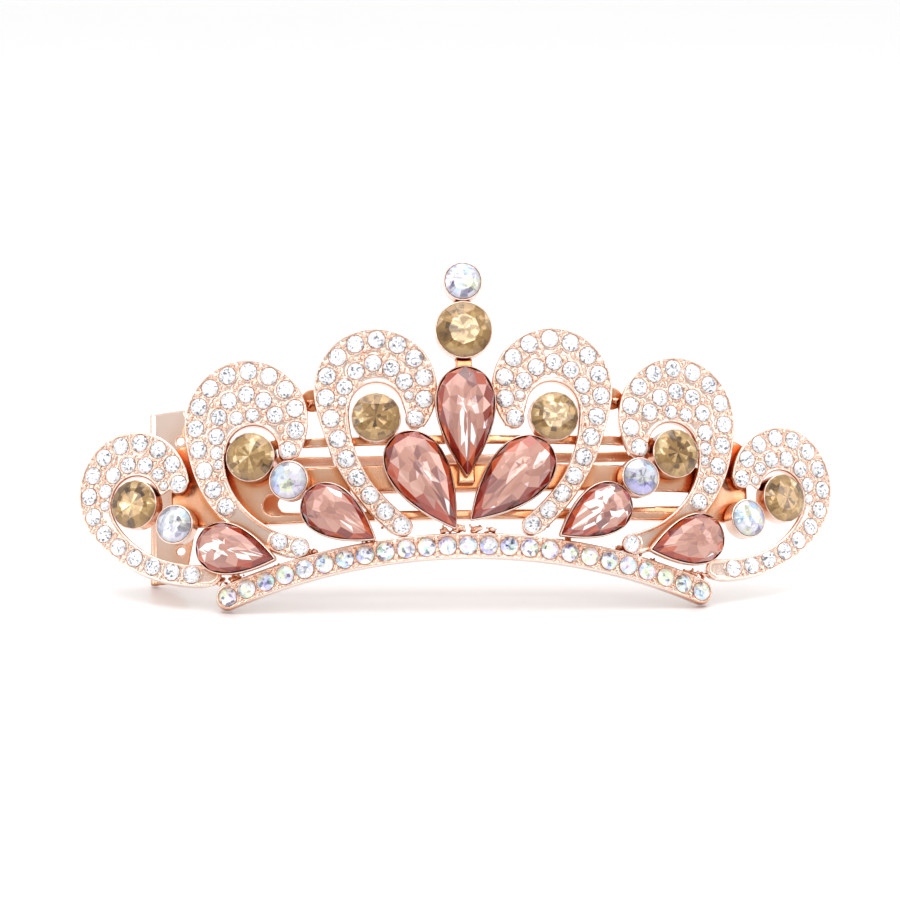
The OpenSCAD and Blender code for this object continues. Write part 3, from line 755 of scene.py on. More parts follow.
def pebble(sides: int = 8, rings: int = 5) -> Surface:
    """A closed ball of radius 1: rows of latitude between two poles."""
    lat = np.linspace(-np.pi / 2, np.pi / 2, rings + 2)[1:-1]
    a = np.linspace(0, 2 * np.pi, sides, endpoint=False)
    x, y = np.outer(np.cos(lat), np.cos(a)), np.outer(np.cos(lat), np.sin(a))
    body = np.stack([x, y, np.broadcast_to(np.sin(lat)[:, None], x.shape)], -1).reshape(-1, 3)
    points = np.concatenate([body, [[0, 0, -1], [0, 0, 1]]])
    low, high, top = len(body), len(body) + 1, (rings - 1) * sides
    faces = grid_faces(rings, sides, False, True)
    faces += [(low, (k + 1) % sides, k) for k in range(sides)]
    faces += [(high, top + k, top + (k + 1) % sides) for k in range(sides)]
    return Surface(points, faces)


def scattered(shape: Surface, places: Array, sizes: Array) -> Surface:
    """Copies of one shape, each at its own place and size.

    Point (copy, i) = place of the copy + size of the copy * point i.

    Args:
        shape: the shape.
        places: (m, 3) places, mm.
        sizes: (m,) sizes.
    Returns:
        All copies as one surface.
    """
    m, n = len(places), len(shape)
    points = (places[:, None, :] + sizes[:, None, None] * shape.points[None]).reshape(-1, 3)
    faces = [tuple(i + c * n for i in f) for c in range(m) for f in shape.faces]
    return Surface(points, faces)


def mesh_piece(name: str, shape: Surface, finish: Finish, smooth: float | None = 40.0) -> bpy.types.Object:
    """Makes an object of a surface, at the origin, with its marks and its finish.

    Args:
        name: the piece's name.
        shape: its surface, mm.
        finish: its finish.
        smooth: edges sharper than this many degrees stay sharp; none is flat.
    Returns:
        The object.
    """
    mesh = bpy.data.meshes.new(name)
    mesh.from_pydata((shape.points * MM).tolist(), [], shape.faces)
    loops = np.zeros(len(mesh.loops), np.int32)
    mesh.loops.foreach_get("vertex_index", loops)
    for key, numbers in shape.marks.items():
        mark = mesh.attributes.new(key, "FLOAT", "POINT")
        mark.data.foreach_set("value", np.asarray(numbers, np.float32))
    if shape.uv is not None:
        layer = mesh.uv_layers.new(name="face")
        layer.data.foreach_set("uv", shape.uv[loops].astype(np.float32).ravel())
    mesh.polygons.foreach_set("use_smooth", np.full(len(mesh.polygons), smooth is not None))
    if smooth is not None:
        mesh.set_sharp_from_angle(angle=math.radians(smooth))
    mesh.update()
    made = bpy.data.objects.new(name, mesh)
    bpy.context.scene.collection.objects.link(made)
    made.data.materials.append(finish.material())
    return made


def finished(piece: bpy.types.Object, body: str, slot: Slot, *nodes: str) -> bpy.types.Object:
    """Lets a piece ride on its body and stand for its CAD nodes, which it hides."""
    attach(piece, body)
    slot.value
    if nodes:
        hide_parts(*nodes)
    LOG.info("%s: %d faces", piece.name, len(piece.data.polygons))
    return piece


def node_surface(node: str) -> Surface:
    """A CAD node's shape with its doubled points merged, mm."""
    mesh = FRAME["nodes"][node].data
    co = np.zeros(len(mesh.vertices) * 3, np.float32)
    mesh.vertices.foreach_get("co", co)
    corners = np.zeros(len(mesh.loops), np.int32)
    mesh.loops.foreach_get("vertex_index", corners)
    keys = np.round(co.reshape(-1, 3) * 1e6).astype(np.int64)
    _, first, back = np.unique(keys, axis=0, return_index=True, return_inverse=True)
    triangles = back.reshape(-1)[corners].reshape(-1, 3)
    ok = (triangles != np.roll(triangles, 1, 1)).all(1)
    points = co.reshape(-1, 3)[first].astype(float) / MM
    return Surface(points, [tuple(t) for t in triangles[ok].tolist()])


def islands(shape: Surface) -> list[Array]:
    """Point numbers of each loose part.

    Every point takes the lowest label among its triangles' points until none changes.
    """
    triangles = np.array(shape.faces)
    label = np.arange(len(shape))
    while True:
        low = label[triangles].min(1)
        after = label.copy()
        for k in range(3):
            np.minimum.at(after, triangles[:, k], low)
        after = after[after]
        if (after == label).all():
            break
        label = after
    return [np.flatnonzero(label == v) for v in np.unique(label)]


@dataclass
class Seats:
    """Where the small stones of one node sit.

    Attributes:
        across: (n,) across the crown, mm.
        up: (n,) up the crown, mm.
        radius: (n,) radius of each stone, mm.
    """

    across: Array
    up: Array
    radius: Array


def seats_of(node: str) -> Seats:
    """Reads the places of a node's stones back from its solids.

    The leaning is undone, then across = radius * atan(x / depth) of each solid's middle.
    """
    shape = node_surface(node)
    c, s = math.cos(math.radians(CROWN.lean)), math.sin(math.radians(CROWN.lean))
    x, y, z = shape.points[:, 0], shape.points[:, 1] - CROWN.forward, shape.points[:, 2] - CROWN.lift
    upright = np.stack([x, y * c - z * s, y * s + z * c], 1)
    rows = []
    for part in islands(shape):
        p = upright[part]
        middle = (p.min(0) + p.max(0)) / 2
        turn = math.atan2(p[:, 0].mean(), CROWN.radius - p[:, 1].mean())
        rows.append((CROWN.radius * turn, middle[2], (p[:, 2].max() - p[:, 2].min()) / 2))
    found = np.array(rows)
    return Seats(found[:, 0], found[:, 1], found[:, 2])


def cast(name: str, parts: Sequence[Surface], voxel: float, finish: Finish, soften: int = 2) -> bpy.types.Object:
    """Melts closed surfaces into one skin, as one casting, and softens its edges.

    Args:
        name: the piece's name.
        parts: closed surfaces that touch.
        voxel: size of the skin's cells, mm.
        finish: its finish.
        soften: rounds of smoothing.
    Returns:
        The object, with its modifiers applied.
    """
    made = mesh_piece(name, gather(parts), finish)
    skin = made.modifiers.new("skin", "REMESH")
    skin.mode = "VOXEL"
    skin.voxel_size = voxel * MM
    skin.use_smooth_shade = True
    ease = made.modifiers.new("ease", "SMOOTH")
    ease.factor, ease.iterations = 0.5, soften
    done = bpy.data.meshes.new_from_object(made.evaluated_get(bpy.context.evaluated_depsgraph_get()))
    made.modifiers.clear()
    made.data = done
    done.name = name
    done.polygons.foreach_set("use_smooth", np.ones(len(done.polygons), bool))
    return made


# ---------------------------------------------------------------- cut stones


@dataclass(frozen=True)
class RoundCut:
    """A round brilliant seen from the front, for a radius of 1.

    Eight table corners, eight star corners between them, sixteen girdle corners.

    Attributes:
        table: radius of the table.
        star: radius of the star corners.
        star_rise: height of the star corners as a share of the crown's.
    """

    table: float = 0.56
    star: float = 0.80
    star_rise: float = 0.52

    def cut(self, radius: float, base: float, girdle: float, top: float) -> tuple[Array, Faces]:
        """Points and facets of one stone.

        Args:
            radius: its radius, mm.
            base: height of its back, mm.
            girdle: height of its girdle, mm.
            top: height of its table, mm.
        Returns:
            (40, 3) points and the facets.
        """
        eighth = np.arange(8) * np.pi / 4
        sixteenth = np.arange(16) * np.pi / 8

        def ring(angles: Array, r: float, height: float) -> Array:
            """A ring of corners."""
            x, y = radius * r * np.cos(angles), radius * r * np.sin(angles)
            return np.stack([x, y, np.full(len(angles), height)], 1)

        rise = girdle + (top - girdle) * self.star_rise
        points = np.concatenate([
            ring(eighth, self.table, top),
            ring(eighth + np.pi / 8, self.star, rise),
            ring(sixteenth, 1.0, girdle),
            ring(sixteenth, 0.94, base),
        ])
        faces: Faces = [tuple(range(8))]
        for k in range(8):
            n, s, g = (k + 1) % 8, 8 + k, 16 + 2 * k
            faces += [(k, s, n), (k, 8 + (k - 1) % 8, g, s), (s, g, g + 1), (s, g + 1, 16 + (2 * k + 2) % 16)]
        for k in range(16):
            n = (k + 1) % 16
            faces.append((16 + k, 32 + k, 32 + n, 16 + n))
        faces.append(tuple(range(47, 31, -1)))
        return points, faces


def split_facets(points: Array, faces: Faces, spread: Array) -> tuple[Array, Faces, Array]:
    """Gives every facet its own corners, so that each carries its own number.

    Args:
        points: (n, 3) corners.
        faces: the facets.
        spread: one number a facet.
    Returns:
        The corners, the facets and each corner's number.
    """
    flat = np.array([i for f in faces for i in f])
    sizes = np.array([len(f) for f in faces])
    starts = np.cumsum(sizes) - sizes
    own = [tuple(range(s, s + n)) for s, n in zip(starts.tolist(), sizes.tolist())]
    return points[flat], own, np.repeat(spread, sizes)


def round_stone(at: Sequence[float], radius: float, heights: tuple[float, float, float], rng: Rng) -> Surface:
    """One round stone standing on the crown.

    Args:
        at: across and up, mm.
        radius: its radius, mm.
        heights: its back, girdle and table in front of the crown's face, mm.
        rng: random numbers for its own number, its turn and its facets.
    Returns:
        The stone, with its map and marks.
    """
    seed, turned = rng.random(), 45 * rng.random()
    points, faces = RoundCut().cut(radius, *heights)
    corners, own, facet = split_facets(points, faces, rng.random(len(faces)))
    uv = corners[:, :2] / (2 * radius) + 0.5
    marks = {"stone": np.full(len(corners), seed), "facet": facet}
    return Surface(CROWN.stood(at, corners, turned), own, marks, uv)


@dataclass(frozen=True)
class PearOutline:
    """A pear: half width proportional to sin(t) * sin(t / 2), t from tip to tip.

    Attributes:
        width: mm.
        length: mm.
        peak: largest value of sin(t) * sin(t / 2).
        centre: how far the facets' centre lies below the round end's, as a share of the length.
    """

    width: float
    length: float
    peak: float = 0.7698
    centre: float = 0.10

    def points(self, t: Array) -> Array:
        """Outline points; the round end's middle is the origin and the tip is at -Y."""
        x = self.width / 2 / self.peak * np.sin(t) * np.abs(np.sin(t / 2))
        return np.stack([x, self.width / 2 - self.length / 2 - self.length / 2 * np.cos(t)], -1)

    def ring(self, count: int, shift: float, scale: float, height: float) -> Array:
        """A shrunken outline at a height.

        Args:
            count: corners.
            shift: share of a step that the corners are turned by.
            scale: share of the full outline, about a point below the round end's middle.
            height: mm.
        Returns:
            (count, 3) corners.
        """
        t = (np.arange(count) + shift) * 2 * np.pi / count
        middle = np.array([0.0, -self.centre * self.length])
        flat = middle + (self.points(t) - middle) * scale
        return np.concatenate([flat, np.full((count, 1), height)], 1)


# ---------------------------------------------------------------- the crown's pieces


class Side(Enum):
    """A side of the crown, as seen from the front."""

    LEFT = ("left", -1.0)
    RIGHT = ("right", 1.0)

    @property
    def label(self) -> str:
        """The side's word in node names."""
        return self.value[0]

    @property
    def sign(self) -> float:
        """-1 on the left, 1 on the right."""
        return self.value[1]


@dataclass(frozen=True)
class ScrollPath:
    """One scroll's drawing; its head's middle is the origin and x points inwards.

    The outer row of stones is a circle up to 180 degrees; beyond that its radius
    grows with a power of the angle, which draws the tail.

    Attributes:
        name: rank of the scroll.
        head: across and up of the head's middle, mm.
        row: radius of the outer row, mm.
        start: first angle, degrees.
        turn: angle of the tail, degrees.
        reach: how much the radius grows over the tail.
        power: how late it grows.
        hole: middle of the head's hole.
        join: angle where the tail's inner edge leaves the hole, degrees.
        fade: angle over which it narrows, degrees.
        rim: metal from the outer row to the outer edge, mm.
        tail_rim: metal from the tail's row to its inner edge, mm.
        hole_r: radius of the head's hole, mm.
    """

    name: str
    head: tuple[float, float]
    row: float
    start: float
    turn: float
    reach: float
    power: float
    hole: tuple[float, float]
    join: float
    fade: float
    rim: float = 1.55
    tail_rim: float = 1.3
    hole_r: float = 3.45

    def path(self, a: Array) -> Array:
        """Points of the outer row at angles in degrees."""
        r = self.row * (1 + self.reach * (np.maximum(a - 180, 0) / self.turn) ** self.power)
        return r[:, None] * np.stack([np.cos(np.radians(a)), np.sin(np.radians(a))], 1)

    def outward(self, a: Array) -> Array:
        """Unit directions across the row, away from the head."""
        t = self.path(a + 1) - self.path(a - 1)
        n = np.stack([t[:, 1], -t[:, 0]], 1)
        return n / np.linalg.norm(n, axis=1)[:, None]

    def inner_room(self, a: Array) -> Array:
        """Metal from the row to the inner edge."""
        hole = np.linalg.norm(self.path(a) - np.array(self.hole), axis=1) - self.hole_r
        at_join = float(np.linalg.norm(self.path(np.array([self.join]))[0] - np.array(self.hole))) - self.hole_r
        tail = self.tail_rim + (at_join - self.tail_rim) * np.maximum(0, 1 - (a - self.join) / self.fade) ** 1.3
        return np.where(a < self.join, hole, tail)

    def outline(self, inset: float) -> Array:
        """The scroll's closed edge, moved inwards by a distance.

        Args:
            inset: mm.
        Returns:
            (n, 2) points in the scroll's own drawing.
        """
        end = 180 + self.turn
        out_a = np.arange(self.start, end + 0.01, 2.0)
        outer = self.path(out_a) + self.outward(out_a) * (self.rim - inset)
        n_end = self.outward(np.array([end]))[0]
        cap_a = np.arctan2(n_end[1], n_end[0]) + np.radians(np.arange(15, 180, 15))
        cap_r = self.tail_rim - inset
        cap = self.path(np.array([end])) + cap_r * np.stack([np.cos(cap_a), np.sin(cap_a)], 1)
        in_a = np.arange(end, self.join, -2.0)
        inner = self.path(in_a) - self.outward(in_a) * (self.inner_room(in_a) - inset)[:, None]
        hole_a = np.radians(np.arange(180, 5, -8.0))
        hole = np.array(self.hole) + (self.hole_r + inset) * np.stack([np.cos(hole_a), np.sin(hole_a)], 1)
        n_start = self.outward(np.array([self.start]))[0]
        lip_a = np.arctan2(n_start[1], n_start[0]) + np.radians(np.arange(-165, 0, 15))
        lip = self.path(np.array([self.start])) + cap_r * np.stack([np.cos(lip_a), np.sin(lip_a)], 1)
        return np.concatenate([outer, cap, inner, hole, lip])

    def on_crown(self, flat: Array, side: Side) -> Array:
        """Across and up of points of the drawing, on one side."""
        return np.stack([side.sign * (self.head[0] - flat[:, 0]), self.head[1] + flat[:, 1]], 1)


def evened(path: Array, step: float, closed: bool) -> Array:
    """A path's points spaced evenly by running length.

    Args:
        path: (n, d) points.
        step: spacing, mm.
        closed: whether it joins its own start.
    Returns:
        (m, d) points.
    """
    full = np.concatenate([path, path[:1]]) if closed else path
    run = np.concatenate([[0], np.cumsum(np.linalg.norm(np.diff(full, axis=0), axis=1))])
    count = max(8, int(run[-1] / step))
    at = np.linspace(0, run[-1], count, endpoint=not closed)
    return np.stack([np.interp(at, run, full[:, k]) for k in range(path.shape[1])], 1)


@dataclass
class SetWork:
    """What rims, collars and grains a set plate carries.

    Attributes:
        wire: radius of the raised edge, mm.
        wire_out: height of its middle over the plate's face, mm.
        collar: thickness of the ring round a stone, as a radius, mm.
        collar_gap: distance of the ring's middle from the stone's edge, mm.
        collar_out: height of the ring's middle, mm.
        grain: radius of the grains that hold the stones, mm.
        grain_out: height of their middles, mm.
        grain_gap: least distance of a grain's middle from a stone's edge, mm.
        grain_room: least distance between two grains, mm.
        close: largest distance between stones that share grains, mm.
        beside: distances of the candidates from the line between two stones, mm.
        voxel: size of the casting's cells, mm.
    """

    wire: float = 0.2
    wire_out: float = 0.02
    collar: float = 0.1
    collar_gap: float = 0.06
    collar_out: float = 0.05
    grain: float = 0.3
    grain_out: float = 0.06
    grain_gap: float = 0.16
    grain_room: float = 0.62
    close: float = 3.6
    beside: tuple[float, ...] = (0.95, -0.95, 1.3, -1.3)
    voxel: float = 0.13

    def edge(self, flat: Array) -> Surface:
        """The raised wire along a closed edge on the crown."""
        path = evened(flat, 0.35, True)
        _, _, out = CROWN.axes(path[:, 0])
        return tube(CROWN.shell(path, self.wire_out), self.wire, 8, out, True)

    def collars(self, seats: Seats) -> Surface:
        """A thin ring round every stone."""
        a = np.linspace(0, 2 * np.pi, 20, endpoint=False)
        rings = []
        for x, z, r in zip(seats.across, seats.up, seats.radius):
            ring = r + self.collar_gap
            around = np.stack([x + ring * np.cos(a), z + ring * np.sin(a)], 1)
            _, _, out = CROWN.axes(around[:, 0])
            rings.append(tube(CROWN.shell(around, self.collar_out), self.collar, 6, out, True))
        return gather(rings)

    def grains(self, seats: Seats, inside: Callable[[Array], Array], rng: Rng) -> Surface:
        """Grains in the gaps between neighbouring stones.

        Two candidates stand either side of the line between each close pair; those
        that touch a stone, leave the plate or crowd another are dropped.

        Args:
            seats: the stones.
            inside: says which flat points are on the plate.
            rng: random numbers for their sizes.
        Returns:
            The grains as one surface.
        """
        p = np.stack([seats.across, seats.up], 1)
        i, j = np.triu_indices(len(p), 1)
        gap = np.linalg.norm(p[i] - p[j], axis=1)
        near = gap < self.close
        i, j = i[near], j[near]
        middle, way = (p[i] + p[j]) / 2, p[j] - p[i]
        across = np.stack([-way[:, 1], way[:, 0]], 1) / np.linalg.norm(way, axis=1)[:, None]
        spots = np.concatenate([middle + across * r for r in self.beside])
        clear = (np.linalg.norm(spots[:, None] - p[None], axis=2) - seats.radius[None]).min(1)
        spots = spots[(clear > self.grain_gap) & inside(spots)]
        kept: list[Array] = []
        for spot in spots:
            if all(np.linalg.norm(spot - k) > self.grain_room for k in kept):
                kept.append(spot)
        if not kept:
            return Surface(np.zeros((0, 3)), [])
        flat = np.array(kept)
        sizes = self.grain * (0.8 + 0.4 * rng.random(len(flat)))
        return scattered(pebble(), CROWN.shell(flat, self.grain_out), sizes)


    def plate(self, node: str, stones: str, outline: Callable[[float], Array], margin: float, rng: Rng) -> Seats:
        """Casts a set plate with its rims, collars and grains.

        Args:
            node: the plate's CAD node.
            stones: the CAD node of its stones.
            outline: gives the plate's edge on the crown, moved inwards by a distance.
            margin: least distance of a grain from the edge, mm.
            rng: random numbers for the grains.
        Returns:
            Where its stones sit.
        """
        seats = seats_of(stones)
        parts = [node_surface(node), self.edge(outline(self.wire)), self.collars(seats)]
        parts.append(self.grains(seats, inside_of(outline(margin)), rng))
        name = f"cast_{node.removeprefix('crown_')}"
        finished(cast(name, parts, self.voxel, Finish.CAST), "crown", Slot.ROSE, node)
        return seats


def inside_of(edge: Array) -> Callable[[Array], Array]:
    """A test of which points lie inside a closed edge: crossings of a ray are odd."""

    def test(p: Array) -> Array:
        """True for each point inside."""
        a, b = edge, np.roll(edge, -1, 0)
        straddles = (a[None, :, 1] > p[:, None, 1]) != (b[None, :, 1] > p[:, None, 1])
        rise = np.where(b[:, 1] == a[:, 1], 1e-9, b[:, 1] - a[:, 1])
        x = a[:, 0] + (p[:, None, 1] - a[:, 1]) / rise * (b[:, 0] - a[:, 0])
        return (straddles & (p[:, None, 0] < x)).sum(1) % 2 == 1

    return test


@dataclass
class SmallStones:
    """The small stones of one node, cut and set.

    Attributes:
        girdle: height of the girdles over the crown's face, mm.
        table: height of the tables, mm.
        fit: radius of a stone as a share of its seat's.
        base: height of the stones' backs, mm.
        full: radius of a stone whose table is at its full height, mm.
    """

    girdle: float = 0.14
    table: float = 0.56
    fit: float = 1.0
    base: float = -0.6
    full: float = 1.15

    def build(self, name: str, seats: Seats, finish: Finish, rng: Rng) -> bpy.types.Object:
        """Cuts every stone of a node into one piece."""
        tops = self.girdle + (self.table - self.girdle) * seats.radius / self.full
        stones = [
            round_stone((x, z), r * self.fit, (self.base, self.girdle, top), rng)
            for x, z, r, top in zip(seats.across, seats.up, seats.radius, tops)
        ]
        return mesh_piece(name, gather(stones), finish, None)


@dataclass
class Scroll:
    """One scroll: its casting and its stones."""

    path: ScrollPath
    side: Side
    work: SetWork = field(default_factory=SetWork)

    @property
    def label(self) -> str:
        """The scroll's name."""
        return f"{self.side.label}_{self.path.name}"

    def outline(self, inset: float) -> Array:
        """The scroll's edge on the crown, moved inwards by a distance."""
        return self.path.on_crown(self.path.outline(inset), self.side)

    def build(self, rng: Rng) -> None:
        """Casts the plate with its rims, collars and grains, and sets its stones."""
        node, pave = f"scroll_{self.label}", f"pave_{self.label}"
        seats = self.work.plate(node, pave, self.outline, 0.5, rng)
        stones = SmallStones().build(f"set_stones_{self.label}", seats, Finish.CLEAR, rng)
        finished(stones, "crown", Slot.CLEAR, pave)


@dataclass
class Band:
    """The arched band with its row of iridescent stones.

    Attributes:
        length: along its middle, mm.
        width: mm.
        rise: of its middle over its ends, mm.
        low: height of its lowest points, mm.
    """

    length: float = 67.2
    width: float = 3.3
    rise: float = 6.7
    low: float = -0.5
    work: SetWork = field(default_factory=SetWork)

    def outline(self, inset: float) -> Array:
        """The band's closed edge: two arcs about one centre, joined by round ends."""
        half, w = self.length / 2, self.width / 2
        r = (half * half + self.rise * self.rise) / (2 * self.rise)
        turn = (half - w) / r
        middle = self.low + w - r * math.cos(turn)
        a = np.linspace(-turn, turn, 90)
        bow = np.stack([np.sin(a), np.cos(a)], 1)
        cap = turn + np.radians(np.arange(15, 180, 15))
        right = r * bow[-1] + (w - inset) * np.stack([np.sin(cap), np.cos(cap)], 1)
        left = right[::-1] * np.array([-1.0, 1.0])
        edge = np.concatenate([(r + w - inset) * bow, right, (r - w + inset) * bow[::-1], left])
        return edge + np.array([0.0, middle])

    def build(self, rng: Rng) -> None:
        """Casts the band and sets its stones."""
        seats = self.work.plate("crown_band", "band_stones", self.outline, 0.3, rng)
        stones = SmallStones(girdle=0.2, table=0.7, fit=1.04).build("set_stones_band", seats, Finish.BAND, rng)
        finished(stones, "crown", Slot.AURORA, "band_stones")


@dataclass
class RoundCup:
    """A round cup with a rolled lip, and the stone in it.

    Attributes:
        key: the name's end, such as left_outer.
        kind: round or aurora.
        at: across and up, mm.
        width: the stone's, mm.
        finish: the stone's finish.
        slot: the stone's slot.
        wall: thickness of the cup's wall, mm.
        base: back of the cup, in front of the crown's face, mm.
        lip: top of the cup's lip, mm.
        cover: share of the wall that the stone's edge lies over.
        sides: steps of the cup's turn.
        stone_out: height of the stone's table over the lip, mm.
    """

    key: str
    kind: str
    at: tuple[float, float]
    width: float
    finish: Finish
    slot: Slot
    wall: float = 0.25
    base: float = -1.58
    lip: float = 0.9
    cover: float = 0.62
    sides: int = 48
    stone_out: float = 0.62

    def cup(self) -> Surface:
        """The cup: a turned wall, belled a little at the foot, and a floor."""
        r, w = self.width / 2, self.wall
        bead = np.radians(np.linspace(-20, 200, 9))
        lip = np.stack([r + w * 0.45 + w * 0.55 * np.cos(bead), self.lip - w * 0.55 + w * 0.55 * np.sin(bead)], 1)
        profile = np.concatenate([
            [[0.001, self.base], [r - 0.35, self.base], [r + w * 0.5, self.base + 0.25], [r + w, self.base + 0.7]],
            lip,
            [[r - 0.02, self.lip - 0.5], [r - 0.1, self.base + 0.9]],
            [[r - 0.7, self.base + 0.6], [0.001, self.base + 0.6]],
        ])
        return lathe(profile, self.sides)

    def build(self, rng: Rng) -> None:
        """Makes the cup and its stone."""
        cup = self.cup()
        cup.points = CROWN.stood(self.at, cup.points)
        piece = mesh_piece(f"cup_{self.kind}_{self.key}", cup, Finish.CAST)
        finished(piece, "crown", Slot.ROSE, f"{self.kind}_cup_{self.key}")
        heights = (self.base + 0.65, self.lip + 0.04, self.lip + self.stone_out)
        stone = round_stone(self.at, self.width / 2 + self.wall * self.cover, heights, rng)
        gem = mesh_piece(f"stone_{self.kind}_{self.key}", stone, self.finish, None)
        finished(gem, "crown", self.slot, f"{self.kind}_stone_{self.key}")


@dataclass
class Pear:
    """A pear stone in its setting.

    Attributes:
        key: the name's end.
        at: across and up of the round end's middle, mm.
        turned: way of the tip from straight down, degrees.
        outline: the stone's outline.
        corners: corners of each ring of facets.
        heights: of the rings in front of the crown's face, mm.
        scales: of the rings, as shares of the outline.
        girdle_low: height of the girdle's lower edge, mm.
        floor: height of the stone's back, mm.
        dark_share: share of the outer facets that take the deep red with painted shade.
        dark, light: how deep that red and painted shade is on those facets and on the others.
        steps: points of the setting's outline.
    """

    key: str
    at: tuple[float, float]
    turned: float
    outline: PearOutline
    corners: int = 12
    heights: tuple[float, ...] = (1.5, 2.35, 2.86, 3.12, 3.2)
    scales: tuple[float, ...] = (1.0, 0.84, 0.6, 0.36, 0.15)
    girdle_low: float = 1.22
    floor: float = 0.5
    dark_share: float = 0.28
    dark: float = 0.8
    light: float = 0.06
    steps: int = 72

    def stone(self, rng: Rng) -> Surface:
        """Rings of corners, each turned half a step, with lozenge facets between.

        A lozenge is the two triangles on either side of a ring's edge, and both take
        the same number.
        """
        n = self.corners
        rings = [self.outline.ring(n, 0.5 * (k % 2), s, h) for k, (s, h) in enumerate(zip(self.scales, self.heights))]
        low = [self.outline.ring(n, 0.0, 0.995, self.girdle_low), self.outline.ring(n, 0.0, 0.9, self.floor)]
        middle = rings[-1].mean(0) + np.array([0, 0, 0.04])
        points = np.concatenate([*rings, *low, middle[None]])
        count = len(rings)
        lozenge = rng.random((count + 1, n))
        deep_ones = rng.random((count + 1, n)) > 1 - self.dark_share
        # How deep each facet's red with painted shade is: the outer ring fully, the next at random.
        rim = np.where(deep_ones, self.dark, self.light) * (np.arange(count + 1) < 2)[:, None]
        rim[0] = 1.0
        faces: Faces = []
        number: list[float] = []
        depth: list[float] = []
        for k in range(count - 1):
            a, b = k * n, (k + 1) * n
            shift = k % 2
            for i in range(n):
                j = (i + 1) % n
                top, ahead = (i, (i + 1) % n) if not shift else ((i + 1) % n, (i + 2) % n)
                faces += [(a + i, b + top, a + j), (a + j, b + top, b + ahead)]
                number += [lozenge[k, i], lozenge[k + 1, top]]
                depth += [rim[k, i], rim[k + 1, top] if k else 1.0]
        last = (count - 1) * n
        for i in range(n):
            faces.append((last + i, len(points) - 1, last + (i + 1) % n))
            number.append(lozenge[count, 0])
            depth.append(0.0)
        upper, lower = count * n, (count + 1) * n
        for i in range(n):
            j = (i + 1) % n
            faces += [(i, j, upper + j, upper + i), (upper + i, upper + j, lower + j, lower + i)]
            number += [0.2, 0.2]
            depth += [1.0, 1.0]
        faces.append(tuple(lower + i for i in range(n)))
        number.append(0.1)
        depth.append(1.0)
        corners, own, facet = split_facets(points, faces, np.array(number))
        _, _, deep = split_facets(points, faces, np.array(depth))
        uv = corners[:, :2] / self.outline.length + np.array([0.5, 0.75])
        marks = {"stone": np.full(len(corners), float(rng.random())), "facet": facet, "depth": deep}
        return Surface(CROWN.stood(self.at, corners, self.turned), own, marks, uv)

    def setting(self) -> Surface:
        """The setting: a rounded wall carried round the pear's outline, and its floor."""
        t = np.linspace(0, 2 * np.pi, self.steps, endpoint=False) + np.pi / self.steps
        edge = self.outline.points(t)
        ahead = np.roll(edge, -1, 0) - np.roll(edge, 1, 0)
        out = np.stack([ahead[:, 1], -ahead[:, 0]], 1)
        out = out / np.linalg.norm(out, axis=1)[:, None]
        section = (
            (-2.2, 0.02), (0.12, 0.02), (0.22, 0.3), (0.22, 1.0), (0.16, 1.2),
            (0.07, 1.26), (0.0, 1.2), (-0.02, 0.9), (-0.15, 0.5), (-2.2, 0.5),
        )
        middle = np.array([0.0, -self.outline.centre * self.outline.length])
        way = middle - edge
        far = np.linalg.norm(way, axis=1)[:, None]
        rows = []
        for off, height in section:
            flat = edge + out * off if off > -1 else edge + way * (1 - 0.02 / far)
            rows.append(np.concatenate([flat, np.full((len(edge), 1), height)], 1))
        points = np.stack(rows, 1).reshape(-1, 3)
        return Surface(points, grid_faces(len(edge), len(section), True, True))

    def build(self, rng: Rng) -> None:
        """Makes the setting and its stone."""
        wall = self.setting()
        wall.points = CROWN.stood(self.at, wall.points, self.turned)
        piece = mesh_piece(f"setting_pear_{self.key}", wall, Finish.CAST)
        finished(piece, "crown", Slot.ROSE, f"pear_setting_{self.key}")
        gem = mesh_piece(f"stone_pear_{self.key}", self.stone(rng), Finish.PEACH, None)
        finished(gem, "crown", Slot.PEACH, f"pear_stone_{self.key}")


@dataclass
class Solder:
    """Lumps of solder where tails, band, cups and settings meet.

    Attributes:
        spots: across, up, out and size of each lump, mm, on the right side.
        balls: small balls in a lump.
        spread: how far they lie from its middle, as a share of its size.
        shape: the lump's spread across, up and out.
        voxel: size of the skin's cells, mm.
    """

    spots: tuple[tuple[float, float, float, float], ...] = (
        (8.4, 9.3, -0.5, 0.9), (10.0, 9.6, -0.8, 0.7), (21.8, 6.3, -0.5, 0.9), (20.2, 6.6, -0.9, 0.7),
        (32.4, 3.3, -0.5, 0.8), (30.4, 3.6, -0.7, 0.8), (1.0, 9.1, -0.4, 0.8), (3.0, 8.9, -0.4, 0.7),
        (36.4, 22.2, -1.1, 0.6), (20.2, 26.2, -1.1, 0.6), (24.6, 4.9, -0.5, 0.6), (13.2, 8.0, -0.5, 0.6),
    )

    balls: int = 26
    spread: float = 0.4
    shape: tuple[float, float, float] = (1.3, 0.8, 0.5)
    voxel: float = 0.12

    def build(self, rng: Rng) -> None:
        """Melts clusters of small balls into lumps."""
        places, sizes = [], []
        for side in Side:
            for across, up, out, size in self.spots:
                shifts = rng.normal(0, self.spread, (self.balls, 3)) * size * np.array(self.shape)
                flat = np.array([side.sign * across, up]) + shifts[:, :2]
                places.append(CROWN.shell(flat, out + shifts[:, 2]))
                sizes.append(size * (0.16 + 0.2 * rng.random(self.balls)))
        lumps = scattered(pebble(8, 5), np.concatenate(places), np.concatenate(sizes))
        piece = cast("solder", [lumps], self.voxel, Finish.SOLDER, 1)
        finished(piece, "crown", Slot.ROSE)


